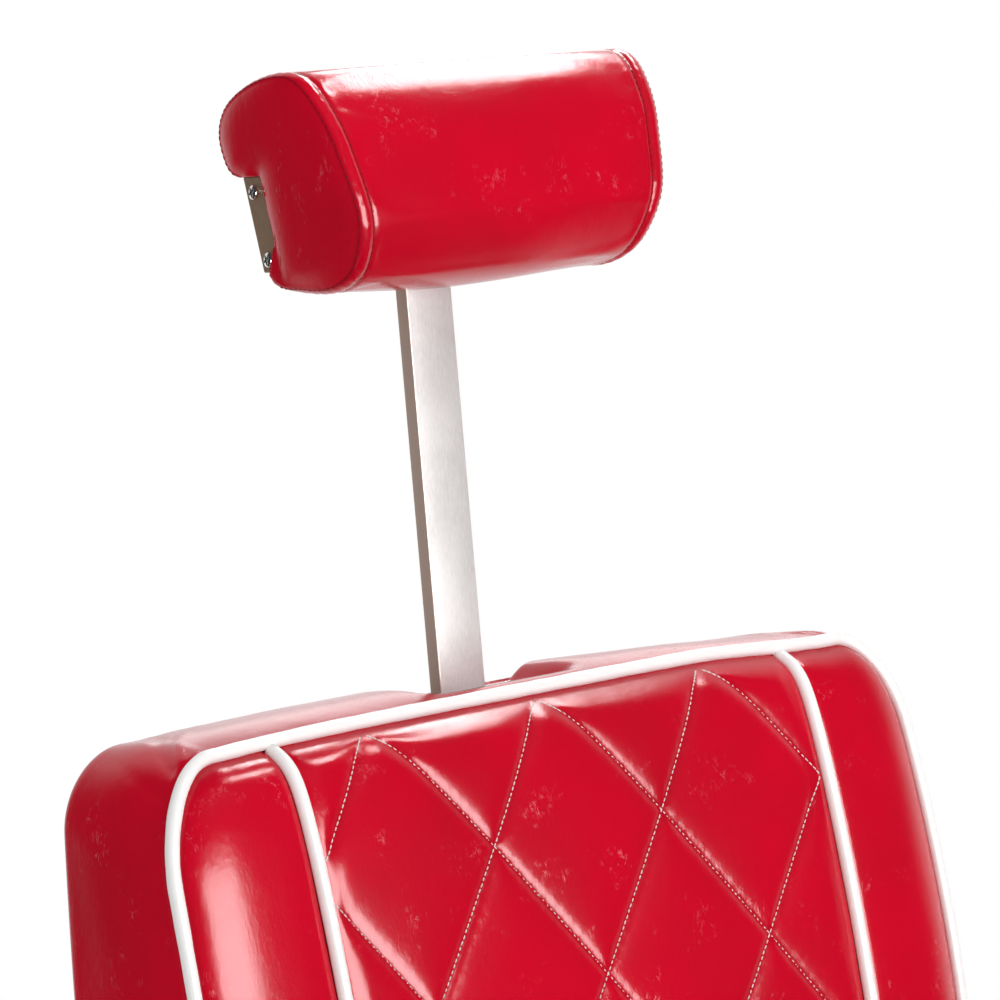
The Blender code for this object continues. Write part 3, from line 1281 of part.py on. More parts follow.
def build_links():
    """The rods that make the leg rest follow the back, each on a frame at its rear pin."""
    rear_z = HINGE_Z - CRANK_LENGTH
    axis = frame("link_axis", (0, HINGE_Y, rear_z), 0)
    front = (LEG_Y - HINGE_Y, LEG_Z - HINGE_Z)
    for side, word in ((-1, "right"), (1, "left")):
        x0 = side * LINK_X
        x1 = side * (LINK_X + LINK_THICKNESS)
        discs = [(0, 0, LINK_HALF_HEIGHT), (*front, LINK_HALF_HEIGHT)]
        link = hull_plate(f"link_rod_{word}", discs, x0, x1, brushed_steel(), axis)
        for centre, end in (((0, 0), "rear"), (front, "front")):
            boolean(link, pin_hole(f"link_hole_{end}_{word}", side, centre, axis))


def main():
    clear_scene()
    build_base()
    build_pump()
    build_pedal()
    build_hub()
    build_seat_frame()
    build_seat_cushion()
    build_arms()
    build_lock()
    build_lever()
    recline = frame("recline_axis", (0, HINGE_Y, HINGE_Z), BACK_LEAN)
    build_back(recline)
    build_headrest(recline)
    build_leg_rest()
    build_links()


main()
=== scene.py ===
# %% [markdown]
# # A barber chair with a quilted red back
# The chair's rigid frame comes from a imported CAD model, which stays where it is. This lesson dresses it: soft
# cushions, piping, stitches and finishes are added piece by piece, each in the CAD model's own metres.

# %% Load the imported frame
import math

import bpy
import numpy as np
from mathutils import Matrix, Vector


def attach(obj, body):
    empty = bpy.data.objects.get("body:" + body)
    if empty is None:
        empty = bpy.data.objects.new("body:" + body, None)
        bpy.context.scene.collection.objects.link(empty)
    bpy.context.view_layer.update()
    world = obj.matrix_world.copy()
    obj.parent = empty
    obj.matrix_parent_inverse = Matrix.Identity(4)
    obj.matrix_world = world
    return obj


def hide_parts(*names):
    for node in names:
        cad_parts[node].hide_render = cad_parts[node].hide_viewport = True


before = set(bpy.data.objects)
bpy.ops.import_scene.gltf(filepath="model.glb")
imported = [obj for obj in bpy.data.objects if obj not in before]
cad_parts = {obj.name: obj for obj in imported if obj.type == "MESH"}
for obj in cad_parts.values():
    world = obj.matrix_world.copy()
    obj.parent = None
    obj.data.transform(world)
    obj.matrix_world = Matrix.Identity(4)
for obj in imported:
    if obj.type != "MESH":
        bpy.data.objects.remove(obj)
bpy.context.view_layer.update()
scene = bpy.context.scene
MM = 0.001
HANDS = ((-1, "right"), (1, "left"))

# %% [markdown]
# ## The camera
# A long lens stands in front of the chair, to its right and a little above the headrest. With a long lens
# the lines of the back stay nearly parallel. The place and the lens were fitted to the edges of the post
# and the piping.

# %% Camera
turn, dip = math.radians(41.53), math.radians(10.53)
ahead = Vector((math.sin(turn) * math.cos(dip), math.cos(turn) * math.cos(dip), -math.sin(dip)))
rightward = Vector((math.cos(turn), -math.sin(turn), 0))
upward = rightward.cross(ahead)
camera = bpy.data.objects.new("camera", bpy.data.cameras.new("camera"))
camera.data.lens, camera.data.sensor_width = 180.97, 36.0
turned_to = Matrix((rightward, upward, -ahead)).transposed().to_4x4()
camera.matrix_world = Matrix.Translation((-1.9134, -1.8017, 1.6562)) @ turned_to
scene.collection.objects.link(camera)
scene.camera = camera
print("camera at", [round(c, 3) for c in camera.location])

# %% [markdown]
# ## Nodes in a few words
# Materials are graphs of nodes. One helper adds a node, sets its options, and sets or links its inputs by
# name or number, so that a material below reads like a short recipe.

# %% Node helper
def add(tree, kind, inputs=None, **options):
    """Add a node to a tree. An input gets a plain value, or a link if the value is a node's socket."""
    made = tree.nodes.new(kind)
    for name, value in options.items():
        setattr(made, name, value)
    for key, value in (inputs or {}).items():
        if isinstance(value, bpy.types.NodeSocket):
            tree.links.new(value, made.inputs[key])
        else:
            made.inputs[key].default_value = value
    return made


def maths(tree, operation, a, b=0.0):
    return add(tree, "ShaderNodeMath", {0: a, 1: b}, operation=operation).outputs[0]


def ranged(tree, value, low, high, to_low=0.0, to_high=1.0):
    """Carry a value from the range low..high to the range to_low..to_high, and clamp it there."""
    inputs = {"Value": value, "From Min": low, "From Max": high, "To Min": to_low, "To Max": to_high}
    return add(tree, "ShaderNodeMapRange", inputs).outputs[0]


def mixed(tree, factor, a, b):
    """Mix two colours: a where the factor is 0, b where it is 1."""
    inputs = {0: factor, 6: a, 7: b}
    return add(tree, "ShaderNodeMix", inputs, data_type="RGBA").outputs[2]


# %% [markdown]
# ## White studio
# The world is plain white to the camera, and a softer grey to everything it lights. Mirrors and gloss see
# the white backdrop behind the chair, and a dim studio elsewhere, as in a real studio where only the
# backdrop is white. That way the background is clean, and the red isn't washed out.

# %% World
def sees_background(tree):
    """1 for camera, mirror and glass rays, which see the white background, and 0 for light on things."""
    path = add(tree, "ShaderNodeLightPath").outputs
    glassy = maths(tree, "MAXIMUM", path["Is Glossy Ray"], path["Is Transmission Ray"])
    return maths(tree, "MAXIMUM", path["Is Camera Ray"], glassy)


AMBIENT, BEHIND = 0.46, Vector((0.66, 0.75, 0.0))
world = bpy.data.worlds.new("studio")
scene.world = world
world.use_nodes = True
world.node_tree.nodes.clear()
tree = world.node_tree
lighting = add(tree, "ShaderNodeBackground", {"Color": (1, 1, 1, 1), "Strength": AMBIENT})
facing = add(tree, "ShaderNodeVectorMath", {1: -BEHIND}, operation="DOT_PRODUCT")
tree.links.new(add(tree, "ShaderNodeNewGeometry").outputs["Incoming"], facing.inputs[0])
behind = ranged(tree, facing.outputs["Value"], 0.3, 0.6, 0.045, 1.0)
seen = add(tree, "ShaderNodeLightPath").outputs["Is Camera Ray"]
glow = maths(tree, "MAXIMUM", behind, seen)
backdrop = add(tree, "ShaderNodeBackground", {"Color": (1, 1, 1, 1), "Strength": glow})
looks = {0: sees_background(tree), 1: lighting.outputs[0], 2: backdrop.outputs[0]}
either = add(tree, "ShaderNodeMixShader", looks)
add(tree, "ShaderNodeOutputWorld", {0: either.outputs[0]})
scene.view_settings.view_transform = "Standard"
print("ambient light", AMBIENT)

# %% [markdown]
# ## Meshes from arrays
# A shape here is a grid of points worked out by a formula: rows by columns by three numbers. Small
# functions turn a grid into faces and close its ends. One more puts points and faces into a mesh, with the
# faces pointing outwards.

# %% Grids to meshes
def grid_faces(rows, columns, wrap):
    """The corner numbers of the quads of a grid, whose columns join up again if wrap is true."""
    i = np.arange(rows - 1)[:, None]
    j = np.arange(columns if wrap else columns - 1)[None, :]
    k = (j + 1) % columns
    quads = np.stack([i * columns + j, i * columns + k, (i + 1) * columns + k, (i + 1) * columns + j], -1)
    return quads.reshape(-1, 4)


def fan(ring, centre):
    """Triangles from each side of a ring to one centre point."""
    return np.stack([ring, np.roll(ring, -1), np.full(len(ring), centre)], -1)


def tube_skin(rings):
    """Points and faces of rings (rows, columns, 3) that follow each other, closed at both ends by fans."""
    rows, columns = rings.shape[:2]
    points = np.concatenate([rings.reshape(-1, 3), [rings[0].mean(0), rings[-1].mean(0)]])
    count = rows * columns
    start = fan(np.arange(columns)[::-1], count)
    end = fan(np.arange(count - columns, count), count + 1)
    return points, [grid_faces(rows, columns, True), start, end]


def loop_skin(rings):
    """Points and faces of rings that close up in both directions, as on a tyre."""
    rows, columns = rings.shape[:2]
    last = grid_faces(2, columns, True)
    last = np.where(last < columns, last + (rows - 1) * columns, last - columns)
    return rings.reshape(-1, 3), [grid_faces(rows, columns, True), last]


def outward(points, faces):
    """The faces, turned round if they enclose a negative volume."""
    volume = 0.0
    for group in faces:
        for n in range(1, group.shape[1] - 1):
            a, b, c = points[group[:, 0]], points[group[:, n]], points[group[:, n + 1]]
            volume += np.einsum("ij,ij->", a, np.cross(b, c))
    return faces if volume > 0 else [group[:, ::-1] for group in faces]


def piece(name, points, faces, finish, body, stands_for=(), slot=None):
    """A smooth mesh object that rides on a CAD body, and stands for CAD solids if any are named."""
    mesh = bpy.data.meshes.new(name)
    corners = [face for group in outward(points, faces) for face in group.tolist()]
    mesh.from_pydata(points.tolist(), [], corners)
    mesh.polygons.foreach_set("use_smooth", np.ones(len(mesh.polygons), bool))
    mesh.materials.append(finish)
    made = bpy.data.objects.new(name, mesh)
    scene.collection.objects.link(made)
    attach(made, body)
    if stands_for:
        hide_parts(*stands_for)
    return made


def mark_seam_shade(made, mask):
    """Store a mask of the sewn places with the points, for the leather to read: it darkens them as painted
    shade in the seams.
    """
    stored = made.data.attributes.new("sewn", "FLOAT", "POINT")
    stored.data.foreach_set("value", mask.ravel().astype(np.float32))


# %% [markdown]
# ## Floor
# The floor is worked out as rings about the base. Its material is ordinary pale paint near the chair.
# Further out it glows at strength 1, but only for the camera and for mirrors, so that no horizon line
# shows. In mirrors only the part behind the chair glows, like the backdrop.

# %% Floor
def polar_floor(radius, rings, sides):
    """Rings of a flat disc: a radius and an angle give x and y."""
    around = np.linspace(0, 2 * np.pi, sides, endpoint=False)
    out = np.linspace(0.01, radius, rings)[:, None]
    flat = np.full((rings, sides), -0.0004)
    return np.stack([out * np.cos(around), out * np.sin(around), flat], -1)


def floor_finish():
    made = bpy.data.materials.new("studio_floor")
    made.use_nodes = True
    tree = made.node_tree
    tree.nodes.clear()
    place = add(tree, "ShaderNodeTexCoord").outputs["Object"]
    away = add(tree, "ShaderNodeVectorMath", {0: place}, operation="LENGTH").outputs["Value"]
    path = add(tree, "ShaderNodeLightPath").outputs
    in_mirror = maths(tree, "MULTIPLY", ranged(tree, away, 0.4, 0.8), path["Is Glossy Ray"])
    in_picture = maths(tree, "MULTIPLY", ranged(tree, away, 0.75, 2.1), sees_background(tree))
    far = maths(tree, "MAXIMUM", in_mirror, in_picture)
    facing = add(tree, "ShaderNodeVectorMath", {0: place, 1: BEHIND}, operation="DOT_PRODUCT")
    backed = ranged(tree, facing.outputs["Value"], 0.5, 1.3, 0.05, 1.0)
    glow = maths(tree, "MAXIMUM", backed, path["Is Camera Ray"])
    grain = add(tree, "ShaderNodeTexNoise", {"Vector": place, "Scale": 6.0}).outputs[0]
    paint = mixed(tree, grain, (0.86, 0.86, 0.86, 1), (0.9, 0.9, 0.9, 1))
    near_look = add(tree, "ShaderNodeBsdfDiffuse", {"Color": paint})
    far_look = add(tree, "ShaderNodeEmission", {"Color": (1, 1, 1, 1), "Strength": glow})
    look = add(tree, "ShaderNodeMixShader", {0: far, 1: near_look.outputs[0], 2: far_look.outputs[0]})
    add(tree, "ShaderNodeOutputMaterial", {0: look.outputs[0]})
    return made


floor_rings = polar_floor(2.6, 24, 96)
floor_mesh = bpy.data.meshes.new("floor")
floor_quads = grid_faces(24, 96, True)[:, ::-1].tolist()
floor_mesh.from_pydata(floor_rings.reshape(-1, 3).tolist(), [], floor_quads + [list(range(96))])
floor_mesh.materials.append(floor_finish())
floor = bpy.data.objects.new("floor", floor_mesh)
scene.collection.objects.link(floor)
print("floor of", len(floor_quads), "quads")

# %% [markdown]
# ## Lamps
# Large soft lamps fill the front, the top and the chair's right, and aren't seen in the gloss. Three more
# boxes are seen only in the gloss: a tall one in front lights one side of each quilted seam, a narrow
# sloping one behind draws the bright band along the top of the headrest, and a weak low one behind lifts
# the top of the back. Kept apart like this, the colour and the shine can be set one at a time. A lamp's
# power follows from its size and its brightness.

# %% Lamps
def soft_box(name, place, target, up, width, height, brightness, in_gloss):
    """A rectangular lamp whose face has this brightness, with its height along up.

    Power = brightness x area x pi.
    """
    light = bpy.data.lights.new(name, "AREA")
    light.shape = "RECTANGLE"
    light.size, light.size_y = width, height
    light.energy = brightness * width * height * math.pi
    lamp = bpy.data.objects.new(name, light)
    back = (Vector(place) - Vector(target)).normalized()
    across = Vector(up).cross(back).normalized()
    turned_to = Matrix((across, back.cross(across), back)).transposed().to_4x4()
    lamp.matrix_world = Matrix.Translation(place) @ turned_to
    lamp.visible_camera = False
    lamp.visible_glossy = in_gloss
    lamp.visible_diffuse = not in_gloss
    scene.collection.objects.link(lamp)
    return lamp


Z_UP = (0, 0, 1)
soft_box("seam_box", (-0.13, -1.35, 1.05), (-0.13, 0.25, 1.05), Z_UP, 1.1, 1.3, 15.0, True)
soft_box("head_box", (1.05, 0.82, 2.43), (1.05, 0.41, 1.37), (0, -0.93, 0.36), 0.38, 1.38, 20.0, True)
soft_box("rim_box", (1.45, 1.72, 1.5), (0.1, 0.3, 1.0), Z_UP, 1.3, 0.55, 1.2, True)
soft_box("front_fill", (0.5, -2.3, 1.3), (0.0, 0.2, 0.9), Z_UP, 1.8, 1.6, 3.2, False)
soft_box("top_fill", (0.2, -0.6, 2.6), (0.0, 0.3, 0.9), (0, 1, 0), 1.5, 1.2, 2.0, False)
soft_box("left_fill", (-2.3, -0.2, 1.3), (0.0, 0.3, 0.9), Z_UP, 1.6, 1.6, 1.0, False)

# %% [markdown]
# ## Shared surface effects
# Leather grain, brushed lines and smudges each turn up in more than one finish. Each is a node group with
# named inputs and outputs, built once. A group gives out only masks, values and heights. The shader stays
# in the material.

# %% Node groups
def group(name, inputs, outputs):
    """An empty shader node group with these sockets. Returns the group, its inputs and its output node."""
    made = bpy.data.node_groups.new(name, "ShaderNodeTree")
    for label, kind, value in inputs:
        socket = made.interface.new_socket(label, in_out="INPUT", socket_type="NodeSocket" + kind)
        if value is not None:
            socket.default_value = value
    for label in outputs:
        made.interface.new_socket(label, in_out="OUTPUT", socket_type="NodeSocketFloat")
    return made, add(made, "NodeGroupInput").outputs, add(made, "NodeGroupOutput")


def noise(tree, vector, scale, detail=2.0, roughness=0.5):
    inputs = {"Vector": vector, "Scale": scale, "Detail": detail, "Roughness": roughness}
    return add(tree, "ShaderNodeTexNoise", inputs).outputs[0]


def leather_grain_group():
    """Glossy coated leather: pores, long pulled wrinkles, and fine hair lines inside drifting patches.

    A hair is a contour line of a drawn-out noise: 1 where the noise is close to 0.5.
    Height is for a Bump node. ScratchGlints is the mask of the hair lines: partly real scratches, and
    partly the places where the leather paints pale highlights of its crackled coat.
    """
    inputs = [("Vector", "Vector", None), ("Patchiness", "Float", 0.5)]
    made, given, out = group("leather_grain", inputs, ["Height", "ScratchGlints", "Clouds"])
    wander = {"Vector": given["Vector"], "Scale": 55.0, "Detail": 2.0}
    drift = add(made, "ShaderNodeTexNoise", wander).outputs[1]
    shove = add(made, "ShaderNodeVectorMath", {0: drift, "Scale": 0.01}, operation="SCALE").outputs[0]
    warped = add(made, "ShaderNodeVectorMath", {0: given["Vector"], 1: shove}).outputs[0]
    patches = ranged(made, noise(made, given["Vector"], 34.0, 3.0, 0.55), given["Patchiness"], 0.74)
    scratch_glints = None
    for turned, scale, long in (((0.1, 0.25, 0.4), 330.0, 0.1), ((-0.4, 0.9, 1.0), 400.0, 0.16)):
        hair = {"Vector": warped, "Rotation": turned, "Scale": (1.0, 1.0, long)}
        line = noise(made, add(made, "ShaderNodeMapping", hair).outputs[0], scale, 1.0)
        from_line = maths(made, "ABSOLUTE", maths(made, "SUBTRACT", line, 0.5))
        line = ranged(made, from_line, 0.004, 0.036, 1.0, 0.0)
        scratch_glints = line if scratch_glints is None else maths(made, "MAXIMUM", scratch_glints, line)
    broken = ranged(made, noise(made, given["Vector"], 230.0, 2.0), 0.5, 0.64)
    scratch_glints = maths(made, "MULTIPLY", maths(made, "MULTIPLY", scratch_glints, broken), patches)
    pulled = {"Vector": warped, "Rotation": (0.3, 0.5, 0.4), "Scale": (1.0, 0.9, 0.16)}
    wrinkles = noise(made, add(made, "ShaderNodeMapping", pulled).outputs[0], 520.0, 3.0, 0.65)
    height = maths(made, "MULTIPLY", noise(made, given["Vector"], 950.0, 3.0, 0.6), 0.22)
    for part, share in ((wrinkles, 0.42), (scratch_glints, 0.35), (noise(made, given["Vector"], 60.0, 2.0), 0.8)):
        height = maths(made, "ADD", height, maths(made, "MULTIPLY", part, share))
    made.links.new(height, out.inputs["Height"])
    made.links.new(scratch_glints, out.inputs["ScratchGlints"])
    made.links.new(noise(made, given["Vector"], 9.0, 3.0), out.inputs["Clouds"])
    return made


def brushed_lines_group():
    """Brushed metal: noise drawn out along one axis. A large Stretch on an axis makes its lines fine."""
    inputs = [("Vector", "Vector", None), ("Stretch", "Vector", (1500.0, 1500.0, 12.0))]
    made, given, out = group("brushed_lines", inputs, ["Lines", "Height"])
    drawn = add(made, "ShaderNodeVectorMath", {0: given["Vector"], 1: given["Stretch"]}, operation="MULTIPLY")
    fine = noise(made, drawn.outputs[0], 1.0, 4.0, 0.6)
    made.links.new(ranged(made, fine, 0.3, 0.7), out.inputs["Lines"])
    made.links.new(fine, out.inputs["Height"])
    return made


def smudges_group():
    """Use marks: broad finger smudges, fine specks of dust, and an uneven paint or casting skin."""
    inputs = [("Vector", "Vector", None), ("Scale", "Float", 22.0)]
    made, given, out = group("smudges", inputs, ["Smudge", "Specks", "Skin"])
    broad = noise(made, given["Vector"], given["Scale"], 5.0, 0.65)
    made.links.new(ranged(made, broad, 0.42, 0.68), out.inputs["Smudge"])
    specks = noise(made, given["Vector"], 700.0, 1.0)
    made.links.new(ranged(made, specks, 0.62, 0.72), out.inputs["Specks"])
    made.links.new(noise(made, given["Vector"], 420.0, 2.0), out.inputs["Skin"])
    return made


leather_grain = leather_grain_group()
brushed_lines = brushed_lines_group()
smudges = smudges_group()
print("groups:", [g.name for g in bpy.data.node_groups])

# %% [markdown]
# ## Red coated leather
# The upholstery is a glossy red. Fine hair lines in drifting patches are mixed towards pale pink: painted
# highlights of its crackled coat, over partly real scratches. A cloudy mask darkens it a little, and the grain
# goes through a Bump node. Where two panels are sewn, an attribute named sewn darkens it: painted shade in
# the seam grooves.

# %% Material helper and red leather
def finish_start(name):
    """A new material with a Principled shader: itself, its tree, the shader and Object coordinates."""
    made = bpy.data.materials.new(name)
    made.use_nodes = True
    tree = made.node_tree
    shader = tree.nodes["Principled BSDF"]
    return made, tree, shader, add(tree, "ShaderNodeTexCoord").outputs["Object"]


def placed(tree, which, inputs):
    """Place a node group in a material and set or link its inputs."""
    return add(tree, "ShaderNodeGroup", inputs, node_tree=which).outputs


def bumped(tree, shader, height, distance, strength=1.0):
    bump = add(tree, "ShaderNodeBump", {"Height": height, "Distance": distance, "Strength": strength})
    tree.links.new(bump.outputs[0], shader.inputs["Normal"])


def red_leather_finish(name, patchiness):
    made, tree, shader, place = finish_start(name)
    skin = placed(tree, leather_grain, {"Vector": place, "Patchiness": patchiness})
    sewn = add(tree, "ShaderNodeAttribute", attribute_name="sewn").outputs["Fac"]
    cloud = ranged(tree, skin["Clouds"], 0.35, 0.7)
    colour = mixed(tree, cloud, (0.62, 0.0006, 0.019, 1), (0.52, 0.0004, 0.015, 1))
    # Painted highlight: the hair lines are mixed towards pale pink, for the glints of the crackled coat over
    # partly real scratches.
    colour = mixed(tree, maths(tree, "MULTIPLY", skin["ScratchGlints"], 0.5), colour, (0.85, 0.2, 0.26, 1))
    # Painted shade: the sewn mask darkens the colour in the seam grooves.
    colour = mixed(tree, maths(tree, "MULTIPLY", sewn, 0.5), colour, (0.26, 0.0004, 0.008, 1))
    tree.links.new(colour, shader.inputs["Base Color"])
    rough = ranged(tree, skin["Clouds"], 0.3, 0.75, 0.13, 0.2)
    rough = maths(tree, "ADD", rough, maths(tree, "MULTIPLY", skin["ScratchGlints"], 0.12))
    tree.links.new(rough, shader.inputs["Roughness"])
    shader.inputs["Specular IOR Level"].default_value = 0.3
    shader.inputs["Coat Weight"].default_value = 0.12
    shader.inputs["Coat Roughness"].default_value = 0.1
    bumped(tree, shader, skin["Height"], 0.00026)
    return made


red_leather = red_leather_finish("red_leather", 0.57)
print("finish:", red_leather.name)

# %% [markdown]
# ## Piping, thread and metals
# The piping is white vinyl over a cord. Thread is matt. Brushed steel has lines along the bar, and its side
# faces are painted darker and browner than its face, as the shade they lie in. Chrome is a mirror with
# smudges, and the frame is painted black.

# %% Other finishes
def white_vinyl_finish():
    made, tree, shader, place = finish_start("white_vinyl")
    marks = placed(tree, smudges, {"Vector": place, "Scale": 30.0})
    dulled = maths(tree, "MULTIPLY", marks["Smudge"], 0.25)
    colour = mixed(tree, dulled, (0.98, 0.98, 0.97, 1), (0.9, 0.88, 0.86, 1))
    tree.links.new(colour, shader.inputs["Base Color"])
    tree.links.new(ranged(tree, marks["Smudge"], 0, 1, 0.3, 0.42), shader.inputs["Roughness"])
    bumped(tree, shader, marks["Skin"], 0.00008)
    return made


def thread_finish(name, light, dark):
    """Spun thread: fine slanting plies in two close colours."""
    made, tree, shader, place = finish_start(name)
    plies = noise(tree, place, 1500.0, 2.0)
    tree.links.new(mixed(tree, ranged(tree, plies, 0.35, 0.65), light, dark), shader.inputs["Base Color"])
    tree.links.new(ranged(tree, plies, 0.3, 0.7, 0.5, 0.7), shader.inputs["Roughness"])
    shader.inputs["Specular IOR Level"].default_value = 0.08
    bumped(tree, shader, plies, 0.0001)
    return made


def brushed_steel_finish(name, face, side, half_width):
    """Brushed flat bar. Object x beyond half_width is its side, painted darker and browner as shade."""
    made, tree, shader, place = finish_start(name)
    lines = placed(tree, brushed_lines, {"Vector": place})
    marks = placed(tree, smudges, {"Vector": place, "Scale": 14.0})
    across = add(tree, "ShaderNodeSeparateXYZ", {0: place}).outputs["X"]
    shaded_side = ranged(tree, maths(tree, "ABSOLUTE", across), half_width - 0.0008, half_width - 0.0003)
    bright = mixed(tree, lines["Lines"], tuple(0.86 * c for c in face[:3]) + (1,), face)
    # Painted shade: the side faces take the darker, browner side colour.
    colour = mixed(tree, shaded_side, bright, side)
    tree.links.new(colour, shader.inputs["Base Color"])
    rough = ranged(tree, lines["Lines"], 0, 1, 0.34, 0.42)
    rough = maths(tree, "ADD", rough, maths(tree, "MULTIPLY", marks["Smudge"], 0.1))
    tree.links.new(rough, shader.inputs["Roughness"])
    tree.links.new(ranged(tree, shaded_side, 0, 1, 0.35, 0.3), shader.inputs["Metallic"])
    bumped(tree, shader, lines["Height"], 0.00003)
    return made


def plain_metal_finish(name, light, dark, rough_low, rough_high, metallic, bump):
    """Metal or paint with smudges: they mix two colours and two roughnesses, and an uneven skin bumps it."""
    made, tree, shader, place = finish_start(name)
    marks = placed(tree, smudges, {"Vector": place})
    colour = mixed(tree, marks["Smudge"], light, dark)
    tree.links.new(colour, shader.inputs["Base Color"])
    rough = ranged(tree, marks["Smudge"], 0, 1, rough_low, rough_high)
    rough = maths(tree, "ADD", rough, maths(tree, "MULTIPLY", marks["Specks"], 0.12))
    tree.links.new(rough, shader.inputs["Roughness"])
    shader.inputs["Metallic"].default_value = metallic
    bumped(tree, shader, marks["Skin"], bump)
    return made


def plywood_finish():
    """Plywood: long grain on the face, from noise drawn out along x."""
    made, tree, shader, place = finish_start("plywood")
    drawn = add(tree, "ShaderNodeMapping", {"Vector": place, "Scale": (3.0, 60.0, 60.0)}).outputs[0]
    grain = ranged(tree, noise(tree, drawn, 1.5, 4.0, 0.6), 0.35, 0.65)
    pores = noise(tree, drawn, 9.0, 3.0)
    colour = mixed(tree, grain, (0.68, 0.5, 0.31, 1), (0.5, 0.34, 0.18, 1))
    colour = mixed(tree, ranged(tree, pores, 0.5, 0.7), colour, (0.4, 0.26, 0.13, 1))
    tree.links.new(colour, shader.inputs["Base Color"])
    tree.links.new(ranged(tree, pores, 0.3, 0.7, 0.5, 0.7), shader.inputs["Roughness"])
    bumped(tree, shader, grain, 0.0001)
    return made


white_vinyl, plywood = white_vinyl_finish(), plywood_finish()
white_thread = thread_finish("white_thread", (0.92, 0.92, 0.9, 1), (0.78, 0.77, 0.75, 1))
red_thread = thread_finish("red_thread", (0.26, 0.001, 0.012, 1), (0.15, 0.001, 0.008, 1))
# The post's side colour is painted shade, darker and browner than its face.
post_steel = brushed_steel_finish("post_steel", (0.79, 0.775, 0.76, 1), (0.6, 0.48, 0.4, 1), 0.0175)
brushed_steel = brushed_steel_finish("brushed_steel", (0.7, 0.69, 0.67, 1), (0.7, 0.69, 0.67, 1), 10.0)
strap_steel, chrome, black_steel, rubber, nylon = (plain_metal_finish(*values) for values in (
    ("strap_steel", (0.55, 0.38, 0.25, 1), (0.44, 0.3, 0.2, 1), 0.36, 0.46, 0.7, 0.00003),
    ("chrome", (0.84, 0.84, 0.85, 1), (0.76, 0.76, 0.77, 1), 0.05, 0.14, 1.0, 0.00001),
    ("black_steel", (0.022, 0.022, 0.025, 1), (0.04, 0.04, 0.042, 1), 0.28, 0.46, 0.0, 0.00008),
    ("rubber", (0.018, 0.018, 0.018, 1), (0.04, 0.039, 0.037, 1), 0.6, 0.8, 0.0, 0.0002),
    ("nylon", (0.85, 0.85, 0.82, 1), (0.76, 0.76, 0.72, 1), 0.35, 0.5, 0.0, 0.00005),
))
print("finishes:", len(bpy.data.materials))

# %% [markdown]
# ## Places on the chair
# The back leans, and so does the leg rest. Each has its own axes: x across, a distance backwards and a
# distance up along the lean. These functions carry millimetres in such axes to the chair's own metres, for
# whole arrays at once.

# %% Leaning places
def leaning(y, z, degrees):
    """A function from (x, back, up) in millimetres, on axes that start at (0, y, z) and lean back."""
    c, s = math.cos(math.radians(degrees)), math.sin(math.radians(degrees))

    def place(x, back, up):
        return np.stack(np.broadcast_arrays(x, y + back * c + up * s, z - back * s + up * c), -1) * MM

    return place


on_back, on_leg, upright = leaning(265, 455, 7.4), leaning(-262, 422, 20), leaning(0, 0, 0)


def on_head(x, back, up):
    """Headrest axes start at the post's middle, at the pad's lower edge."""
    return on_back(x, 60 + back, 803 + up)


print("top of the post at", on_head(0, 0, 62).round(3))

# %% [markdown]
# ## Cloth that is blown up
# A real cushion swells between its seams because foam pushes its cover out. Blender's cloth does this with
# pressure and no gravity. A coarse copy of the cover is simulated with its sewn points held, its movement
# is capped, and the movement is then carried to the fine cover.

# %% Cloth
def blown_up(points, wrap, sewn, pressure, limit):
    """How each point (rows, columns, 3) of a cover moves, in metres, in 20 frames with sewn held."""
    rows, columns = points.shape[:2]
    mesh = bpy.data.meshes.new("cover")
    mesh.from_pydata(points.reshape(-1, 3).tolist(), [], grid_faces(rows, columns, wrap).tolist())
    cover = bpy.data.objects.new("cover", mesh)
    scene.collection.objects.link(cover)
    held = cover.vertex_groups.new(name="sewn")
    held.add(np.flatnonzero(sewn).tolist(), 1.0, "REPLACE")
    cloth = cover.modifiers.new("cloth", "CLOTH")
    cloth.settings.quality = 6
    cloth.settings.mass = 0.3
    cloth.settings.tension_stiffness = cloth.settings.compression_stiffness = 30
    cloth.settings.shear_stiffness = 12
    cloth.settings.bending_stiffness = 1.5
    cloth.settings.vertex_group_mass = "sewn"
    cloth.settings.use_pressure = True
    cloth.settings.uniform_pressure_force = pressure
    cloth.settings.effector_weights.gravity = 0
    cloth.collision_settings.use_collision = False
    cloth.point_cache.frame_start, cloth.point_cache.frame_end = 1, 20
    for number in range(1, 21):
        scene.frame_set(number)
    graph = bpy.context.evaluated_depsgraph_get()
    moved = np.empty(rows * columns * 3, np.float32)
    cover.evaluated_get(graph).data.vertices.foreach_get("co", moved)
    move = moved.reshape(points.shape) - points
    far = np.linalg.norm(move, axis=-1, keepdims=True)
    move *= np.minimum(1, limit / np.maximum(far, 1e-9))
    bpy.data.objects.remove(cover)
    bpy.data.meshes.remove(mesh)
    scene.frame_set(1)
    print("  cloth:", rows * columns, "points, moved up to", round(float(far.max()) * 1000, 1), "mm")
    return move


def refined(coarse, rows, columns):
    """Carry a coarse grid's values to a finer grid, by straight lines along and then across, blurred."""
    for axis, count in ((0, rows), (1, columns)):
        at = np.linspace(0, coarse.shape[axis] - 1, count)
        low = np.minimum(at.astype(int), coarse.shape[axis] - 2)
        share = (at - low).reshape((-1, 1, 1) if axis == 0 else (1, -1, 1))
        coarse = np.take(coarse, low, axis) * (1 - share) + np.take(coarse, low + 1, axis) * share
    for _ in range(3):
        coarse[1:-1] = (coarse[:-2] + 2 * coarse[1:-1] + coarse[2:]) / 4
        coarse[:, 1:-1] = (coarse[:, :-2] + 2 * coarse[:, 1:-1] + coarse[:, 2:]) / 4
    return coarse


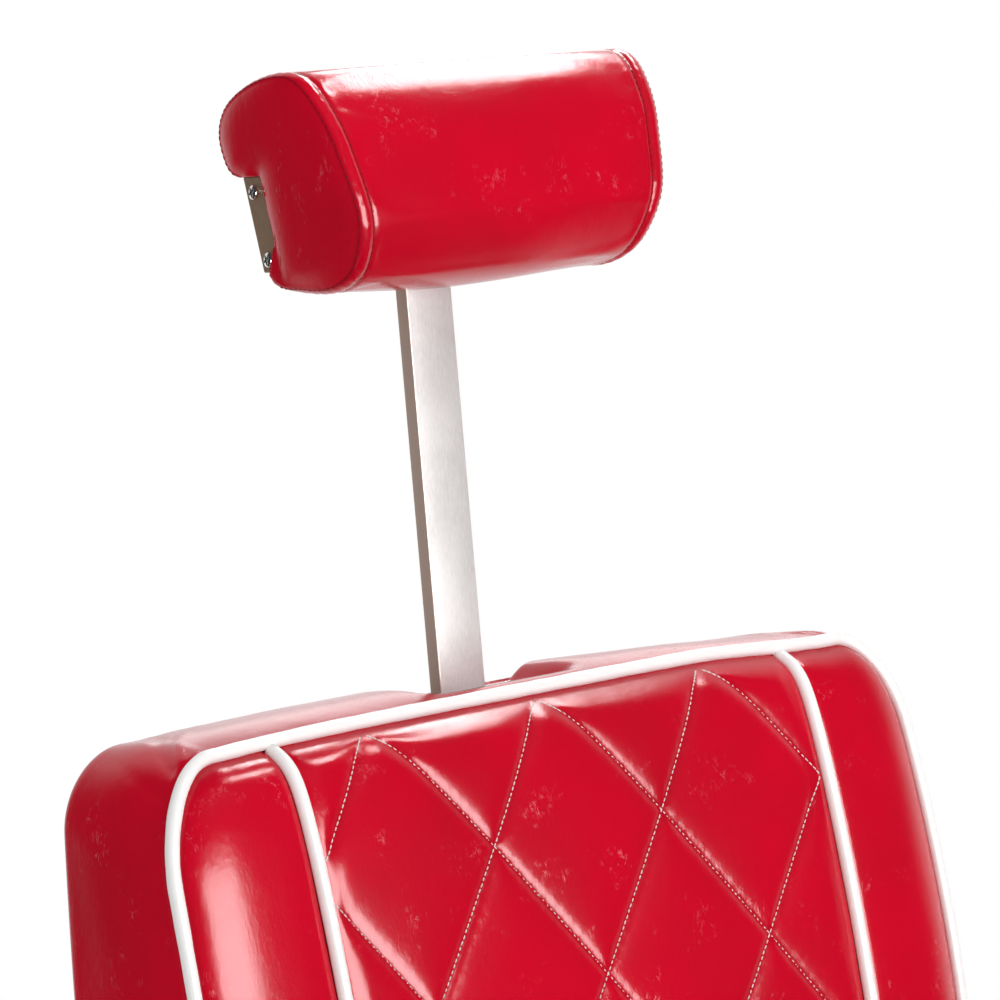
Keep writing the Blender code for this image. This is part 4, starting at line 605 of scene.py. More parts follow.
def ripple(a, b, length, seed):
    """Gentle unevenness from -1 to 1: the mean of four sine waves in four directions, about this long."""
    waves = []
    for n in range(4):
        angle, k = 2.4 * n + seed, 2 * np.pi / (length * (0.7 + 0.23 * n))
        waves.append(np.sin(k * (a * math.cos(angle) + b * math.sin(angle)) + 1.7 * seed * (n + 1)))
    return sum(waves) / 4


# %% [markdown]
# ## The quilted, piped cushions
# The back and the seat are boxed cushions: a front panel, a boxing band round it, and white piping in the
# seam between them. The middle of the panel is quilted in diamonds, and two more pipings part it from plain
# side panels. The panel is one height function over a rectangle whose corners are mapped to ovals. Rings
# round its edge make the boxing.

# %% Cushion shape
PIPING_RADIUS, EDGE_INSET, TAPER_START, TAPER_END = 4.2, 6.0, 204.7, 285.0
DIAMOND_WIDTH, DIAMOND_HEIGHT, QUILT_START, QUILT_X, DIVIDER_X = 131.0, 172.0, 0.5, -3.0, 2.0
SEAM_SPACING = 1 / math.hypot(1 / DIAMOND_WIDTH, 1 / DIAMOND_HEIGHT)


class PipedCushion:
    """A boxed cushion in millimetres: x across, v along from the middle, d out of the panel.

    seam(v) is d of the piped seam. u and w run from -1 to 1 across and along. Corner squares
    become oval quarters by a' = a sqrt(1 - b^2 / 2) and b' = b sqrt(1 - a^2 / 2).
    """

    def __init__(self, half_x, half_v, corners, rear_corner, back_d, seam, quilt_half, crown, puff, taper=0.0,
                 arch=0.0):
        self.half_x, self.half_v, self.corners, self.rear_corner = half_x, half_v, corners, rear_corner
        self.back_d, self.seam, self.quilt_half = back_d, seam, quilt_half
        self.crown, self.puff, self.taper, self.arch = crown, puff, taper, arch
        self.divider_x = quilt_half + 6.36 if quilt_half < half_x - 30 else None
        self.line = np.linspace(EDGE_INSET - half_v, half_v - EDGE_INSET, 4001)
        rise = np.diff(self.crowned(self.line, 500.0, half_v - EDGE_INSET - np.abs(self.line)))
        self.cloth = np.concatenate([[0], np.cumsum(np.hypot(rise, np.diff(self.line)))])

    def near_top(self, v):
        """1 at the top seam, falling to 0 at 200 mm below it."""
        return np.clip(1 - (self.half_v - EDGE_INSET - v) / 200, 0, None)

    def arched(self, x, v):
        """The top edge's pull up in the middle and sag on the chair's left, fading over 200 mm."""
        sag = np.clip((x - 130) / 90, 0, 1)
        bow = 1 - np.minimum(np.abs(x) / 214, 1.1) ** 4 - 1.35 * sag * sag * (3 - 2 * sag)
        return self.arch * self.near_top(v) ** 2 * bow

    def rounded(self, u, w, inset, rear=0.0):
        """x and v of a point of the unit square, at this inset, with the rear's corners where rear is 1.

        The corner at the top on the chair's left is tighter in front and rounder behind, in
        proportion to arch.
        """
        half_x, half_v = self.half_x - inset, self.half_v - inset
        pulled = self.arch * ((u > 0) & (w > 0))
        front_x = self.corners[0] - 7 * pulled
        front_v = np.where(w > 0, self.corners[2], self.corners[1]) - 4 * pulled
        rear_corner = self.rear_corner + 12 * pulled
        rx = front_x + (rear_corner - front_x) * rear - inset
        rv = front_v + (rear_corner - front_v) * rear - inset
        a = np.clip((np.abs(u) * half_x - half_x + rx) / rx, 0, 1)
        b = np.clip((np.abs(w) * half_v - half_v + rv) / rv, 0, 1)
        x = np.sign(u) * (np.minimum(np.abs(u) * half_x, half_x - rx) + rx * a * np.sqrt(1 - b * b / 2))
        v = np.sign(w) * (np.minimum(np.abs(w) * half_v, half_v - rv) + rv * b * np.sqrt(1 - a * a / 2))
        side = np.clip((np.abs(x) - TAPER_START) / (TAPER_END - TAPER_START), 0, None)
        slope = 2.0 * self.arch * rear * np.clip((x - 60) / 80, 0, 1)
        top = self.near_top(v) ** 2
        return x - np.sign(x) * self.taper * side * top, v + self.arched(x, v) - slope * top

    def seam_distances(self, x, v):
        """Distances to the nearest falling seam and the nearest rising one, and places along them.

        A falling seam falls to the right. The diamonds are drawn on the flat cloth, so v is first
        turned into a length along the crowned panel.
        """
        along = (np.interp(v, self.line, self.cloth) - self.cloth[-1] - QUILT_START) / DIAMOND_HEIGHT
        a, b = (x - QUILT_X) / DIAMOND_WIDTH + along, (x - QUILT_X) / DIAMOND_WIDTH - along
        falls, rises = (np.maximum(np.abs(c - np.round(c)), 1e-4) * SEAM_SPACING for c in (a, b))
        return falls, rises, a, b

    def crowned(self, v, from_side, from_end):
        """The seam plus the crown, which rolls up from sides and ends as 1 - exp(-distance / roll)."""
        return self.seam(v) + self.crown * (1 - np.exp(-from_side / 16)) * (1 - np.exp(-from_end / 6.5))

    def height(self, x, v, from_side, from_end):
        """d of the panel: crown, quilting puffed up between seams, puckers at stitches, divider grooves."""
        d = self.crowned(v, from_side, from_end)
        falls, rises, a, b = self.seam_distances(x, v)
        nearest = (falls ** -3 + rises ** -3) ** (-1 / 3)
        puff = 1 - np.exp(-nearest / 6.5) + 0.12 * nearest / SEAM_SPACING
        fade = np.clip(np.minimum(from_end / 14, (self.quilt_half - np.abs(x)) / 14), 0, 1)
        fade = fade * fade * (3 - 2 * fade)
        pucker = np.sin(2 * np.pi * b * 11.3 + 2 * ripple(x, v, 40, 1)) * np.exp(-falls / 6)
        pucker = pucker + np.sin(2 * np.pi * a * 12.1 + 2 * ripple(x, v, 45, 2)) * np.exp(-rises / 6)
        d = d + fade * (self.puff * (puff - 0.6) + 0.07 * pucker)
        d = d + 0.35 * ripple(x, v, 90, 3) * (1 - np.exp(-np.minimum(from_side, from_end) / 20))
        if self.divider_x:
            gap = np.abs(np.abs(x - DIVIDER_X) - self.divider_x)
            d = d - 2.5 * np.exp(-gap / 10) - 3.5 * np.exp(-(gap / 4.5) ** 2)
        return d

    def panel(self, columns, rows):
        """x, v, d and a sewn mask of the panel, as arrays of rows by columns."""
        u, w = np.meshgrid(np.linspace(-1, 1, columns), np.linspace(-1, 1, rows))
        x, v = self.rounded(u, w, EDGE_INSET)
        from_side = (1 - np.abs(u)) * (self.half_x - EDGE_INSET)
        from_end = (1 - np.abs(w)) * (self.half_v - EDGE_INSET)
        d = self.height(x, v, from_side, from_end)
        falls, rises = self.seam_distances(x, v)[:2]
        seam = np.where(np.abs(x) < self.quilt_half, np.exp(-np.minimum(falls, rises) / 1.6), 0)
        return x, v, d, np.maximum(seam, np.exp(-np.minimum(from_side, from_end) / 2.5))

    def boxing(self, u, w, dent):
        """x, v, d of rings from under the piping down the boxing band and round its rear edge."""
        rings = [(4.2, 0.0, 2.6), (1.5, 0.0, 4.9), (-0.4, 0.0, 5.2)]
        for t in np.linspace(0, 1, 22)[1:]:
            rings.append((-0.4 - 3.2 * math.sin(math.pi * t ** 0.9) - 3.4 * t, t, 5.2))
        made = []
        for inset, share, drop in rings:
            x, v = self.rounded(u, w, inset, share)
            top = self.seam(v) - drop
            made.append(self.creased(x, v, top + (self.back_d + 6 - top) * share, top))
        for turn in np.linspace(0, 1, 6)[1:] * math.pi / 2:
            x, v = self.rounded(u, w, -3.8 + 6 * (1 - math.cos(turn)), 1.0)
            made.append((x, v, np.full_like(x, self.back_d + 6 * (1 - math.sin(turn)))))
        made.append((*self.rounded(u, w, 38.0, 1.0), np.full_like(u, self.back_d)))
        return tuple(np.stack(part) for part in dent(*(np.stack(part) for part in zip(*made))))

    def creased(self, x, v, d, top):
        """Pull creases that fan out from the piping at each corner, and a slow unevenness of the band."""
        depth = np.maximum(0, top - d)
        turn = np.arctan2(np.abs(v) - (self.half_v - 62), np.abs(x) - (self.half_x - 52))
        push = 0.5 * ripple(x + 0.6 * v, 1.6 * d, 75, 4) * (1 - np.exp(-depth / 15))
        creases = ((1.15, 0.011, 0.07, -2.4), (1.3, 0.014, 0.05, 2.2), (0.85, 0.006, 0.08, -1.8))
        for start, lean, wide, size in creases:
            there = np.exp(-((turn - start - lean * depth) / wide) ** 2)
            push = push + size * there * np.exp(-depth / 26) * (1 - np.exp(-depth / 4))
        return x + push * np.cos(turn) * np.sign(x), v + push * np.sin(turn) * np.sign(v), d


def edge_walk(columns, rows):
    """Grid numbers round the edge of a panel, against the clock seen from in front."""
    number = np.arange(rows * columns).reshape(rows, columns)
    return np.concatenate([number[0, :-1], number[:-1, -1], number[-1, :0:-1], number[:0:-1, 0]])


def cushion_piece(name, cushion, place, columns, rows, body, node, pressure, dent=lambda x, v, d: (x, v, d)):
    """The whole cover: the panel, blown up between its seams, then the boxing rings and a flat rear."""
    x, v, d, sewn = cushion.panel(columns, rows)
    panel = place(x, v, d)
    held = sewn[::3, ::3] > 0.35
    held[[0, -1]] = held[:, [0, -1]] = True
    if cushion.divider_x:
        held |= np.abs(np.abs(x[::3, ::3]) - cushion.divider_x) < 4
    panel = panel + refined(blown_up(panel[::3, ::3], False, held, pressure, 0.004), rows, columns)
    walk = edge_walk(columns, rows)
    u, w = np.meshgrid(np.linspace(-1, 1, columns), np.linspace(-1, 1, rows))
    bx, bv, bd = cushion.boxing(u.ravel()[walk], w.ravel()[walk], dent)
    band = place(bx, bv, bd)
    count, around = panel.shape[0] * panel.shape[1], len(walk)
    loops = [walk] + [count + k * around + np.arange(around) for k in range(len(band))]
    sides = [np.stack([a, b, np.roll(b, -1), np.roll(a, -1)], -1) for a, b in zip(loops, loops[1:])]
    points = np.concatenate([panel.reshape(-1, 3), band.reshape(-1, 3), [band[-1].mean(0)]])
    faces = [grid_faces(rows, columns, False), *sides, fan(loops[-1][::-1], len(points) - 1)]
    made = piece(name, points, faces, red_leather, body, [node], "red_vinyl")
    mark_seam_shade(made, np.concatenate([sewn.ravel(), np.zeros(len(points) - count)]))
    print(name, len(points), "points")
    return made


# %% [markdown]
# ## The back cushion
# The back's seam bulges forwards at the small of the sitter's back and rolls in at the top. Its top band is
# pressed down where the post's plate is screwed on.

# %% Back cushion
BACK_HALF, BACK_MIDDLE = 257.5, 302.5


def back_seam(v):
    """The seam's distance in front of the hinge: a top roll 1 - exp(-below / 25) and a lumbar sine."""
    below = BACK_HALF - v
    return 4 + 10.6 * (1 - np.exp(-np.maximum(below, 0) / 25)) + 43 * np.sin(np.pi * below / 680)


def pressed_by_plate(x, v, d):
    """Move the top band down to the underside of the post's plate, with a soft shoulder round the plate."""
    under = 1 / (1 + (np.abs(x) / 52) ** 10) * np.clip((-d - 10) / 14, 0, 1) * np.clip((v - 200) / 30, 0, 1)
    return x, v + (251.0 - v) * under * under * (3 - 2 * under), d


def back_place(x, v, d):
    return on_back(x, -d, BACK_MIDDLE + v)


back = PipedCushion(291, BACK_HALF, (52, 60, 70), 42, -70.4, back_seam, 192, 13.5, 3.8, taper=6, arch=1.9)
cushion_piece("back_cover", back, back_place, 292, 259, "backrest", "back_cushion", 4.0, pressed_by_plate)

# %% [markdown]
# ## Piping
# Piping is a cord in a strip of vinyl, sewn into a seam. It is a circle carried along the seam: at each
# point of the path the circle's plane is square to the path.

# %% Piping
def tube_rings(path, radius, sides, up, closed):
    """Circles round a path: tangents from the neighbours, side = tangent x up, over = side x tangent."""
    tangent = np.roll(path, -1, 0) - np.roll(path, 1, 0) if closed else np.gradient(path, axis=0)
    tangent = tangent / np.linalg.norm(tangent, axis=1, keepdims=True)
    side = np.cross(tangent, up)
    side = side / np.linalg.norm(side, axis=1, keepdims=True)
    over = np.cross(side, tangent)
    angle = np.linspace(0, 2 * np.pi, sides, endpoint=False)[None, :, None]
    radius = np.broadcast_to(np.asarray(radius), (len(path),))[:, None, None]
    return path[:, None] + radius * (np.cos(angle) * side[:, None] + np.sin(angle) * over[:, None])


def square_walk(half_x, half_v, count):
    """u and w of points spaced evenly round the unit square, for a rectangle of these half sizes."""
    corners = np.array([[-1, -1], [1, -1], [1, 1], [-1, 1], [-1, -1]], float)
    lengths = np.concatenate([[0], np.cumsum([half_x, half_v, half_x, half_v])])
    at = np.linspace(0, lengths[-1], count, endpoint=False)
    return np.interp(at, lengths, corners[:, 0]), np.interp(at, lengths, corners[:, 1])


def pipings(cushion, place, word, body):
    """The piping round a cushion's panel, and the two that part its side panels from the quilting."""
    out = place(0.0, 0.0, 1.0) - place(0.0, 0.0, 0.0)
    x, v = cushion.rounded(*square_walk(cushion.half_x, cushion.half_v, 640), 1.5)
    run = np.arange(640)
    wavy = PIPING_RADIUS * (1 + 0.02 * np.sin(run * 0.31) + 0.015 * np.sin(run * 0.83 + 1))
    path = place(x, v, cushion.seam(v) - 0.4)
    skin = loop_skin(tube_rings(path, wavy * MM, 16, out, True))
    made = [piece(word + "_piping", *skin, white_vinyl, body, [word + "_edge_piping"], "white_piping")]
    if not cushion.divider_x:
        return made
    for sign, hand in HANDS:
        reach = cushion.half_v - EDGE_INSET
        v = np.linspace(-reach, reach, 240)
        d = cushion.crowned(v, cushion.half_x - EDGE_INSET - cushion.divider_x, reach - np.abs(v)) - 1.0
        x = np.full_like(v, sign * cushion.divider_x + DIVIDER_X)
        path = place(x, v + cushion.arched(x, v), d)
        skin = tube_skin(tube_rings(path, PIPING_RADIUS * MM, 16, out, False))
        node = f"{word}_divider_piping_{hand}"
        made.append(piece(f"{word}_piping_{hand}", *skin, white_vinyl, body, [node], "white_piping"))
    return made


print([p.name for p in pipings(back, back_place, "back", "backrest")])

# %% [markdown]
# ## Stitches
# Each stitch is a short spindle that lies in the seam and dips under the leather at both ends. All the
# stitches of a cushion are one mesh: the same small grid is placed at every point of the seams by adding
# arrays.

# %% Stitches
def spindles(centres, along, out, half_length, thick):
    """Closed spindles at centres (n, 3), arched outwards: radius thick * sqrt(1 - t^4), t from -1 to 1."""
    along = along / np.linalg.norm(along, axis=1, keepdims=True)
    side = np.cross(along, out)
    side = side / np.linalg.norm(side, axis=1, keepdims=True)
    over = np.cross(side, along)
    t = np.array([-1, -0.8, 0.0, 0.8, 1])
    round_t = thick * np.sqrt(np.clip(1 - t ** 4, 0.02, 1))
    angle = np.linspace(0, 2 * np.pi, 6, endpoint=False)
    spine = centres[:, None] + along[:, None] * (t * half_length)[:, None]
    spine = spine - over[:, None] * (0.7 * thick * t * t)[:, None]
    around = np.cos(angle)[:, None] * side[:, None, None] + np.sin(angle)[:, None] * over[:, None, None]
    rings = spine[:, :, None] + around * round_t[:, None, None]
    count = len(centres)
    step = (np.arange(count) * 30)[:, None, None]
    quads = (grid_faces(5, 6, True)[None] + step).reshape(-1, 4)
    first = (np.arange(6)[::-1][None, None] + step).reshape(-1, 6)
    last = (np.arange(24, 30)[None, None] + step).reshape(-1, 6)
    return rings.reshape(-1, 3), [quads, first, last]


def quilt_stitches(name, cushion, place, body, thread):
    """Stitches along both families of seams: x / width + way * along / height = a whole number."""
    number, t = np.meshgrid(np.arange(-9, 10), np.arange(-640, 640, 3.7))
    centres, along = [], []
    lean = DIAMOND_WIDTH / math.hypot(DIAMOND_WIDTH, DIAMOND_HEIGHT)
    for way in (1, -1):
        x = (t * lean).ravel() + QUILT_X
        cloth = (way * DIAMOND_HEIGHT * (number - t * lean / DIAMOND_WIDTH)).ravel()
        cloth = cloth + cushion.cloth[-1] + QUILT_START
        half = cushion.cloth[-1] / 2
        keep = (np.abs(x) < cushion.quilt_half + 1) & (np.abs(cloth - half) < half - 1.5)
        x, cloth = x[keep], cloth[keep]
        both = []
        for step in (0, lean):
            px = x + step
            pv = np.interp(cloth - way * step * DIAMOND_HEIGHT / DIAMOND_WIDTH, cushion.cloth, cushion.line)
            from_end = np.maximum(0, cushion.half_v - EDGE_INSET + cushion.arched(px, pv) - np.abs(pv))
            from_side = cushion.half_x - EDGE_INSET - np.abs(px)
            both.append(place(px, pv, cushion.height(px, pv, from_side, from_end) + 0.25))
        centres.append(both[0])
        along.append(both[1] - both[0])
    centres, along = np.concatenate(centres), np.concatenate(along)
    out = np.broadcast_to(place(0.0, 0.0, 1.0) - place(0.0, 0.0, 0.0), centres.shape)
    made = piece(name, *spindles(centres, along, out, 1.55 * MM, 0.44 * MM), thread, body)
    print(name, len(centres), "stitches")
    return made


quilt_stitches("back_stitches", back, back_place, "backrest", white_thread)

# %% [markdown]
# ## Rear panel of the back
# Behind, the back is closed by a thin board in the same red. It is a rectangle with round corners whose
# height rises quickly from its edge and then crowns a little.

# %% Rear panel
def rear_panel():
    columns, rows = 121, 107
    u, w = np.meshgrid(np.linspace(-1, 1, columns), np.linspace(-1, 1, rows))
    x, v = back.rounded(u, w, 5.0, 1.0)
    edge = np.minimum((1 - np.abs(u)) * 286, (1 - np.abs(w)) * 252)
    line = np.exp(-((edge - 11) / 1.2) ** 2)
    n = 71.2 + 4.6 * (1 - np.exp(-edge / 3)) + 1.6 * (1 - u ** 4) * (1 - w ** 4) - 0.7 * line
    walk = edge_walk(columns, rows)
    front = on_back(x.ravel()[walk], 70.7, BACK_MIDDLE + v.ravel()[walk])
    points = np.concatenate([on_back(x, n, BACK_MIDDLE + v).reshape(-1, 3), front, [front.mean(0)]])
    ring = columns * rows + np.arange(len(walk))
    band = np.stack([walk, np.roll(walk, -1), np.roll(ring, -1), ring], -1)
    faces = [grid_faces(rows, columns, False)[:, ::-1], band, fan(ring, len(points) - 1)]
    made = piece("rear_cover", points, faces, red_leather, "backrest", ["back_rear_panel"], "red_vinyl")
    mark_seam_shade(made, np.concatenate([line.ravel(), np.zeros(len(points) - line.size)]))
    return made


print(rear_panel().name)

# %% [markdown]
# ## The headrest pad
# The headrest is a fat bolster: one profile carried across, a little fuller in the middle, with slanting
# ends sewn in. A strip about 10 mm wide beside each end seam stands up between the seam and a row of top
# stitches. The profile is a smooth curve through a few points. The end panels run from the seam in to a
# middle point, and swell with the distance from the seam. The pad sits a little lower at one end, as in the
# photo.

# %% Headrest profile
HEAD_BODY = np.array([
    (3.3, 11.0), (0.1, 7.1), (-10.6, 2.6), (-38.0, 0.0), (-55.4, 2.6), (-70.4, 9.4), (-80.3, 20.2),
    (-86.6, 31.4), (-90.3, 43.7), (-88.6, 59.1), (-84.5, 75.8), (-80.3, 92.5), (-72.9, 106.7),
    (-65.4, 117.6), (-55.9, 125.9), (-44.7, 128.5), (-29.7, 128.0), (-13.9, 124.8), (4.4, 118.0),
    (15.3, 111.0), (23.5, 100.5), (26.4, 89.2), (23.5, 77.1), (15.6, 70.5), (2.3, 70.0)])
HEAD_NOTCH = np.array([(-7.3, 70.0), (-7.3, 11.0)])
HEAD_MIDDLE = np.array([-38.0, 88.0])
HEAD_HALF, STRIP_WIDTH, END_SLANT = 116.0, 9.5, 0.165


def smooth_line(points, steps):
    """A smooth curve through points: each span is a cubic in t set by its two ends and their neighbours."""
    padded = np.concatenate([[2 * points[0] - points[1]], points, [2 * points[-1] - points[-2]]])
    t = np.linspace(0, 1, steps, endpoint=False)[None, :, None]
    a, b, c, d = (padded[n:len(points) - 1 + n, None] for n in range(4))
    spans = b + 0.5 * t * (c - a + t * (2 * a - 5 * b + 4 * c - d + t * (3 * (b - c) + d - a)))
    return np.concatenate([spans.reshape(-1, points.shape[1]), points[-1:]])


def even_steps(line, count):
    """The same line with evenly spaced points, and how far along it each one is."""
    lengths = np.concatenate([[0], np.cumsum(np.linalg.norm(np.diff(line, axis=0), axis=1))])
    at = np.linspace(0, lengths[-1], count, endpoint=False)
    return np.stack([np.interp(at, lengths, line[:, k]) for k in range(line.shape[1])], -1), at


def nearest_distance(points, line):
    """How far each point is from the nearest point of a line."""
    return np.sqrt(((points[..., None, :] - line) ** 2).sum(-1)).min(-1)


head_curve = smooth_line(HEAD_BODY, 10)
head_ring, head_at = even_steps(np.concatenate([head_curve, HEAD_NOTCH, head_curve[:1]]), 234)
body_length = np.linalg.norm(np.diff(head_curve, axis=0), axis=1).sum()
away_from_notch = np.clip(np.minimum(head_at - 15, body_length - 20 - head_at) / 15, 0, 1)[:, None]
for _ in range(20):
    pull = np.roll(head_ring, 1, 0) + np.roll(head_ring, -1, 0) - 2 * head_ring
    head_ring = head_ring + 0.25 * away_from_notch * pull
head_tangent = np.roll(head_ring, -1, 0) - np.roll(head_ring, 1, 0)
head_normal = np.stack([-head_tangent[:, 1], head_tangent[:, 0]], -1)
head_normal /= np.linalg.norm(head_normal, axis=1, keepdims=True)
head_cover = np.clip(np.minimum(head_at - 4, body_length - 8 - head_at) / 22, 0, 1)
print("profile", round(body_length), "mm round")

# %% [markdown]
# The cover's distance from its profile depends on how far a point is from the end seam: it starts drawn in
# at the seam, rises over the strip, dips at the top stitches and swells to the middle.

# %% Headrest pad
def head_offset(from_end, at):
    """Offset in mm: swell -2 + 3 (1 - exp(-e / 18)), a strip sin^2 over 9.5 mm, two narrow grooves."""
    strip = np.sin(np.pi * np.clip(from_end / STRIP_WIDTH, 0, 1)) ** 2
    pucker = np.sin(at * 0.78 + 1.3 * np.sin(at * 0.13)) * np.exp(-np.abs(from_end - 6) / 5)
    swell = -2.0 + 3.0 * (1 - np.exp(-from_end / 18))
    grooves = 0.8 * np.exp(-((from_end - STRIP_WIDTH) / 1.3) ** 2) + np.exp(-(from_end / 0.9) ** 2)
    return swell + 0.8 * strip + 0.14 * pucker - grooves


def head_set(share, up):
    """How the foam has set, in mm along the normal.

    The underside hangs 3 mm lower near the middle, and the top is 1 mm higher at the left end. up is the
    upward part of the normal, so the two act on the underside and on the top alone.
    """
    hanging = 3.0 * (1 - np.minimum(1, (share + 0.15) ** 2)) ** 2 * np.clip(-up, 0, 1)
    return hanging + 1.0 * np.clip(share, 0, 1) ** 2 * np.clip(up, 0, 1)


def pad_place(share, ring, out=0.0):
    """A place on the pad. The slanting end seams are at share -1 and 1, and out is added to them.

    They are 109 mm out at the lower edge and 0.165 mm more per mm up. The end on the chair's left is a
    little fuller, by 0.5 mm and 0.02 mm more per mm up.
    """
    fuller = np.where(share > 0, 0.5 + 0.02 * ring[..., 1], 0.0)
    x = share * (109.0 + END_SLANT * ring[..., 1] + fuller) + np.sign(share) * out
    return on_head(x, ring[..., 0], ring[..., 1] - 2.6 - 0.013 * x)


def headrest_pad():
    t = np.linspace(-1, 1, 121)
    share = (0.45 * t + 0.55 * np.sin(t * np.pi / 2))[:, None]
    from_end = (1 - np.abs(share)) * HEAD_HALF
    uneven = 0.5 * ripple(share * 110, head_at[None], 60, 5) * (1 - np.exp(-from_end / 25))
    offset = head_offset(from_end, head_at[None]) + uneven + head_set(share, head_normal[:, 1])
    ring = head_ring[None] + (offset * head_cover[None])[..., None] * head_normal[None]
    middle = pad_place(share, ring)
    held = np.broadcast_to((head_cover < 0.5)[None] | (from_end < 11), middle.shape[:2])[::2, ::2]
    move = blown_up(middle[::2, ::2], True, held, 5.0, 0.0012)
    move = refined(np.concatenate([move, move[:, :1]], 1), 121, 235)[:, :-1]
    middle = middle + move
    inward = np.array([0.02, 0.05, 0.09, 0.15, 0.23, 0.34, 0.48, 0.64, 0.82, 0.96])[:, None, None]
    notch_edge = np.linspace(*HEAD_NOTCH, 30)
    ends = []
    for sign, edge in ((-1, 0), (1, -1)):
        inner = ring[edge] + (HEAD_MIDDLE - ring[edge]) * inward
        dome = 5.0 * (1 - np.exp(-nearest_distance(inner, ring[edge][head_cover > 0]) / 9)) - 0.6
        dome = dome * (1 - np.exp(-(nearest_distance(inner, notch_edge) + 0.4) / 8))
        ends.append(pad_place(float(sign), inner, dome))
    rings = np.concatenate([ends[0][::-1], middle, ends[1]])
    rows, columns = rings.shape[:2]
    number = np.arange(rows * columns).reshape(rows, columns)
    faces = [grid_faces(rows, columns, True), number[:1, ::-1], number[-1:]]
    made = piece("headrest_cover", rings.reshape(-1, 3), faces, red_leather, "headrest", ["headrest_pad"],
                 "red_vinyl")
    # The mask for painted shade along the end seam and the top-stitch row.
    from_seam = np.minimum(from_end[:, 0], np.abs(from_end[:, 0] - STRIP_WIDTH))
    sewn = np.exp(-np.pad(from_seam, len(inward), constant_values=9.0) / 1.2)
    mark_seam_shade(made, np.repeat(sewn[:, None], columns, 1))
    print(made.name, rows * columns, "points")
    return made


headrest_pad()

# %% [markdown]
# Two rows of dark red stitches run round each end, one in the seam and one on the strip's inner edge.

# %% Headrest stitches
def headrest_stitches():
    at = np.arange(10, body_length - 12, 4.3)
    centres, along, out = [], [], []
    for sign in (-1, 1):
        for from_end in (0.2, STRIP_WIDTH):
            share = sign * (1 - from_end / HEAD_HALF)
            both = []
            for step in (0.0, 1.0):
                ring, normal = (np.stack([np.interp(at + step, head_at, line[:, k]) for k in (0, 1)], -1)
                                for line in (head_ring, head_normal))
                cover = np.interp(at + step, head_at, head_cover)
                offset = head_offset(np.full_like(at, from_end), at) + head_set(share, normal[:, 1])
                ring = ring + (offset * cover + 0.05)[:, None] * normal
                both.append(pad_place(share, ring))
            centres.append(both[0])
            along.append(both[1] - both[0])
            out.append(on_head(0.0, normal[:, 0], normal[:, 1]) - on_head(0.0, 0.0, 0.0))
    parts = spindles(np.concatenate(centres), np.concatenate(along), np.concatenate(out), 1.6 * MM, 0.36 * MM)
    return piece("headrest_stitches", *parts, red_thread, "headrest")


print(headrest_stitches().name)

# %% [markdown]
# ## Post and screws
# The post is a flat bar with slightly broken edges. The screws are pan heads with a cross recess: a dome
# over a polar grid, with the cross sunk into it.

# %% Post
def rounded_bar(half_a, half_b, corner):
    """The outline of a rectangle with round corners, as (a, b) points."""
    turn = np.linspace(0, np.pi / 2, 6)
    middle_a, middle_b = half_a - corner, half_b - corner
    quarters = [((1, 1), 0.0), ((-1, 1), 0.5), ((-1, -1), 1.0), ((1, -1), 1.5)]
    parts = []
    for (side_a, side_b), quarter in quarters:
        angle = turn + quarter * np.pi
        a, b = side_a * middle_a + corner * np.cos(angle), side_b * middle_b + corner * np.sin(angle)
        parts.append(np.stack([a, b], -1))
    return np.concatenate(parts)


def post_bar():
    up = np.array([-347, -346.4, -300, -200, -100, 0, 61.4, 62.0])
    inset = np.array([0.6, 0, 0, 0, 0, 0, 0, 0.6])
    half = np.array([17.5, 5.0])
    rings = rounded_bar(*half, 0.9)[None] * (1 - inset[:, None, None] / half)
    points = on_head(rings[..., 0], rings[..., 1], up[:, None])
    return piece("post_bar", *tube_skin(points), post_steel, "headrest", ["headrest_post"], "brushed_steel")


def screw(name, centre, out, across, radius, body):
    """A pan head: height 0.22 + 0.36 sqrt(1 - r^2) in radii, less a cross of two slots 0.34 deep."""
    out, across = Vector(out).normalized(), Vector(across).normalized()
    other = out.cross(across)
    around = np.linspace(0, 2 * np.pi, 64, endpoint=False)
    r, turn = np.meshgrid(np.linspace(1, 0.02, 16), around, indexing="ij")
    a, b = r * np.cos(turn), r * np.sin(turn)
    slots = np.maximum(np.clip((0.17 - np.abs(a)) / 0.06, 0, 1) * np.clip((0.62 - np.abs(b)) / 0.1, 0, 1),
                       np.clip((0.17 - np.abs(b)) / 0.06, 0, 1) * np.clip((0.62 - np.abs(a)) / 0.1, 0, 1))
    height = 0.22 + 0.36 * np.sqrt(np.clip(1 - r ** 2, 0, 1)) - 0.34 * slots
    foot = np.stack([a[0], b[0], np.full(64, -0.1)], -1)[None]
    grid = np.concatenate([foot, np.stack([a, b, height], -1)]) * radius
    axes = np.array([across, other, out])
    return piece(name, *tube_skin(np.asarray(centre) + grid @ axes), chrome, body)


print(post_bar().name)
for number, k in enumerate((21.0, 60.5)):
    for sign, hand in HANDS:
        place = on_head(sign * (108.7 + END_SLANT * k), 1.6, k)
        out = (sign, 0, -END_SLANT)
        screw(f"strap_screw_{hand}_{number}", place, out, (0.2, 0.6, 0.8), 4.6 * MM, "headrest")
for sign, hand in HANDS:
    up = on_back(0, 0, 1) - on_back(0, 0, 0)
    screw(f"plate_screw_{hand}", on_back(sign * 34.0, 52.0, 556.0), up, (0.7, 0.7, 0), 3.6 * MM, "backrest")

# %% [markdown]
# ## Seat cushion
# The seat has the same quilting, piping and boxing as the back, lying flat.

# %% Seat cushion
def seat_place(x, v, d):
    return upright(x, v - 50, 459.5 + d)


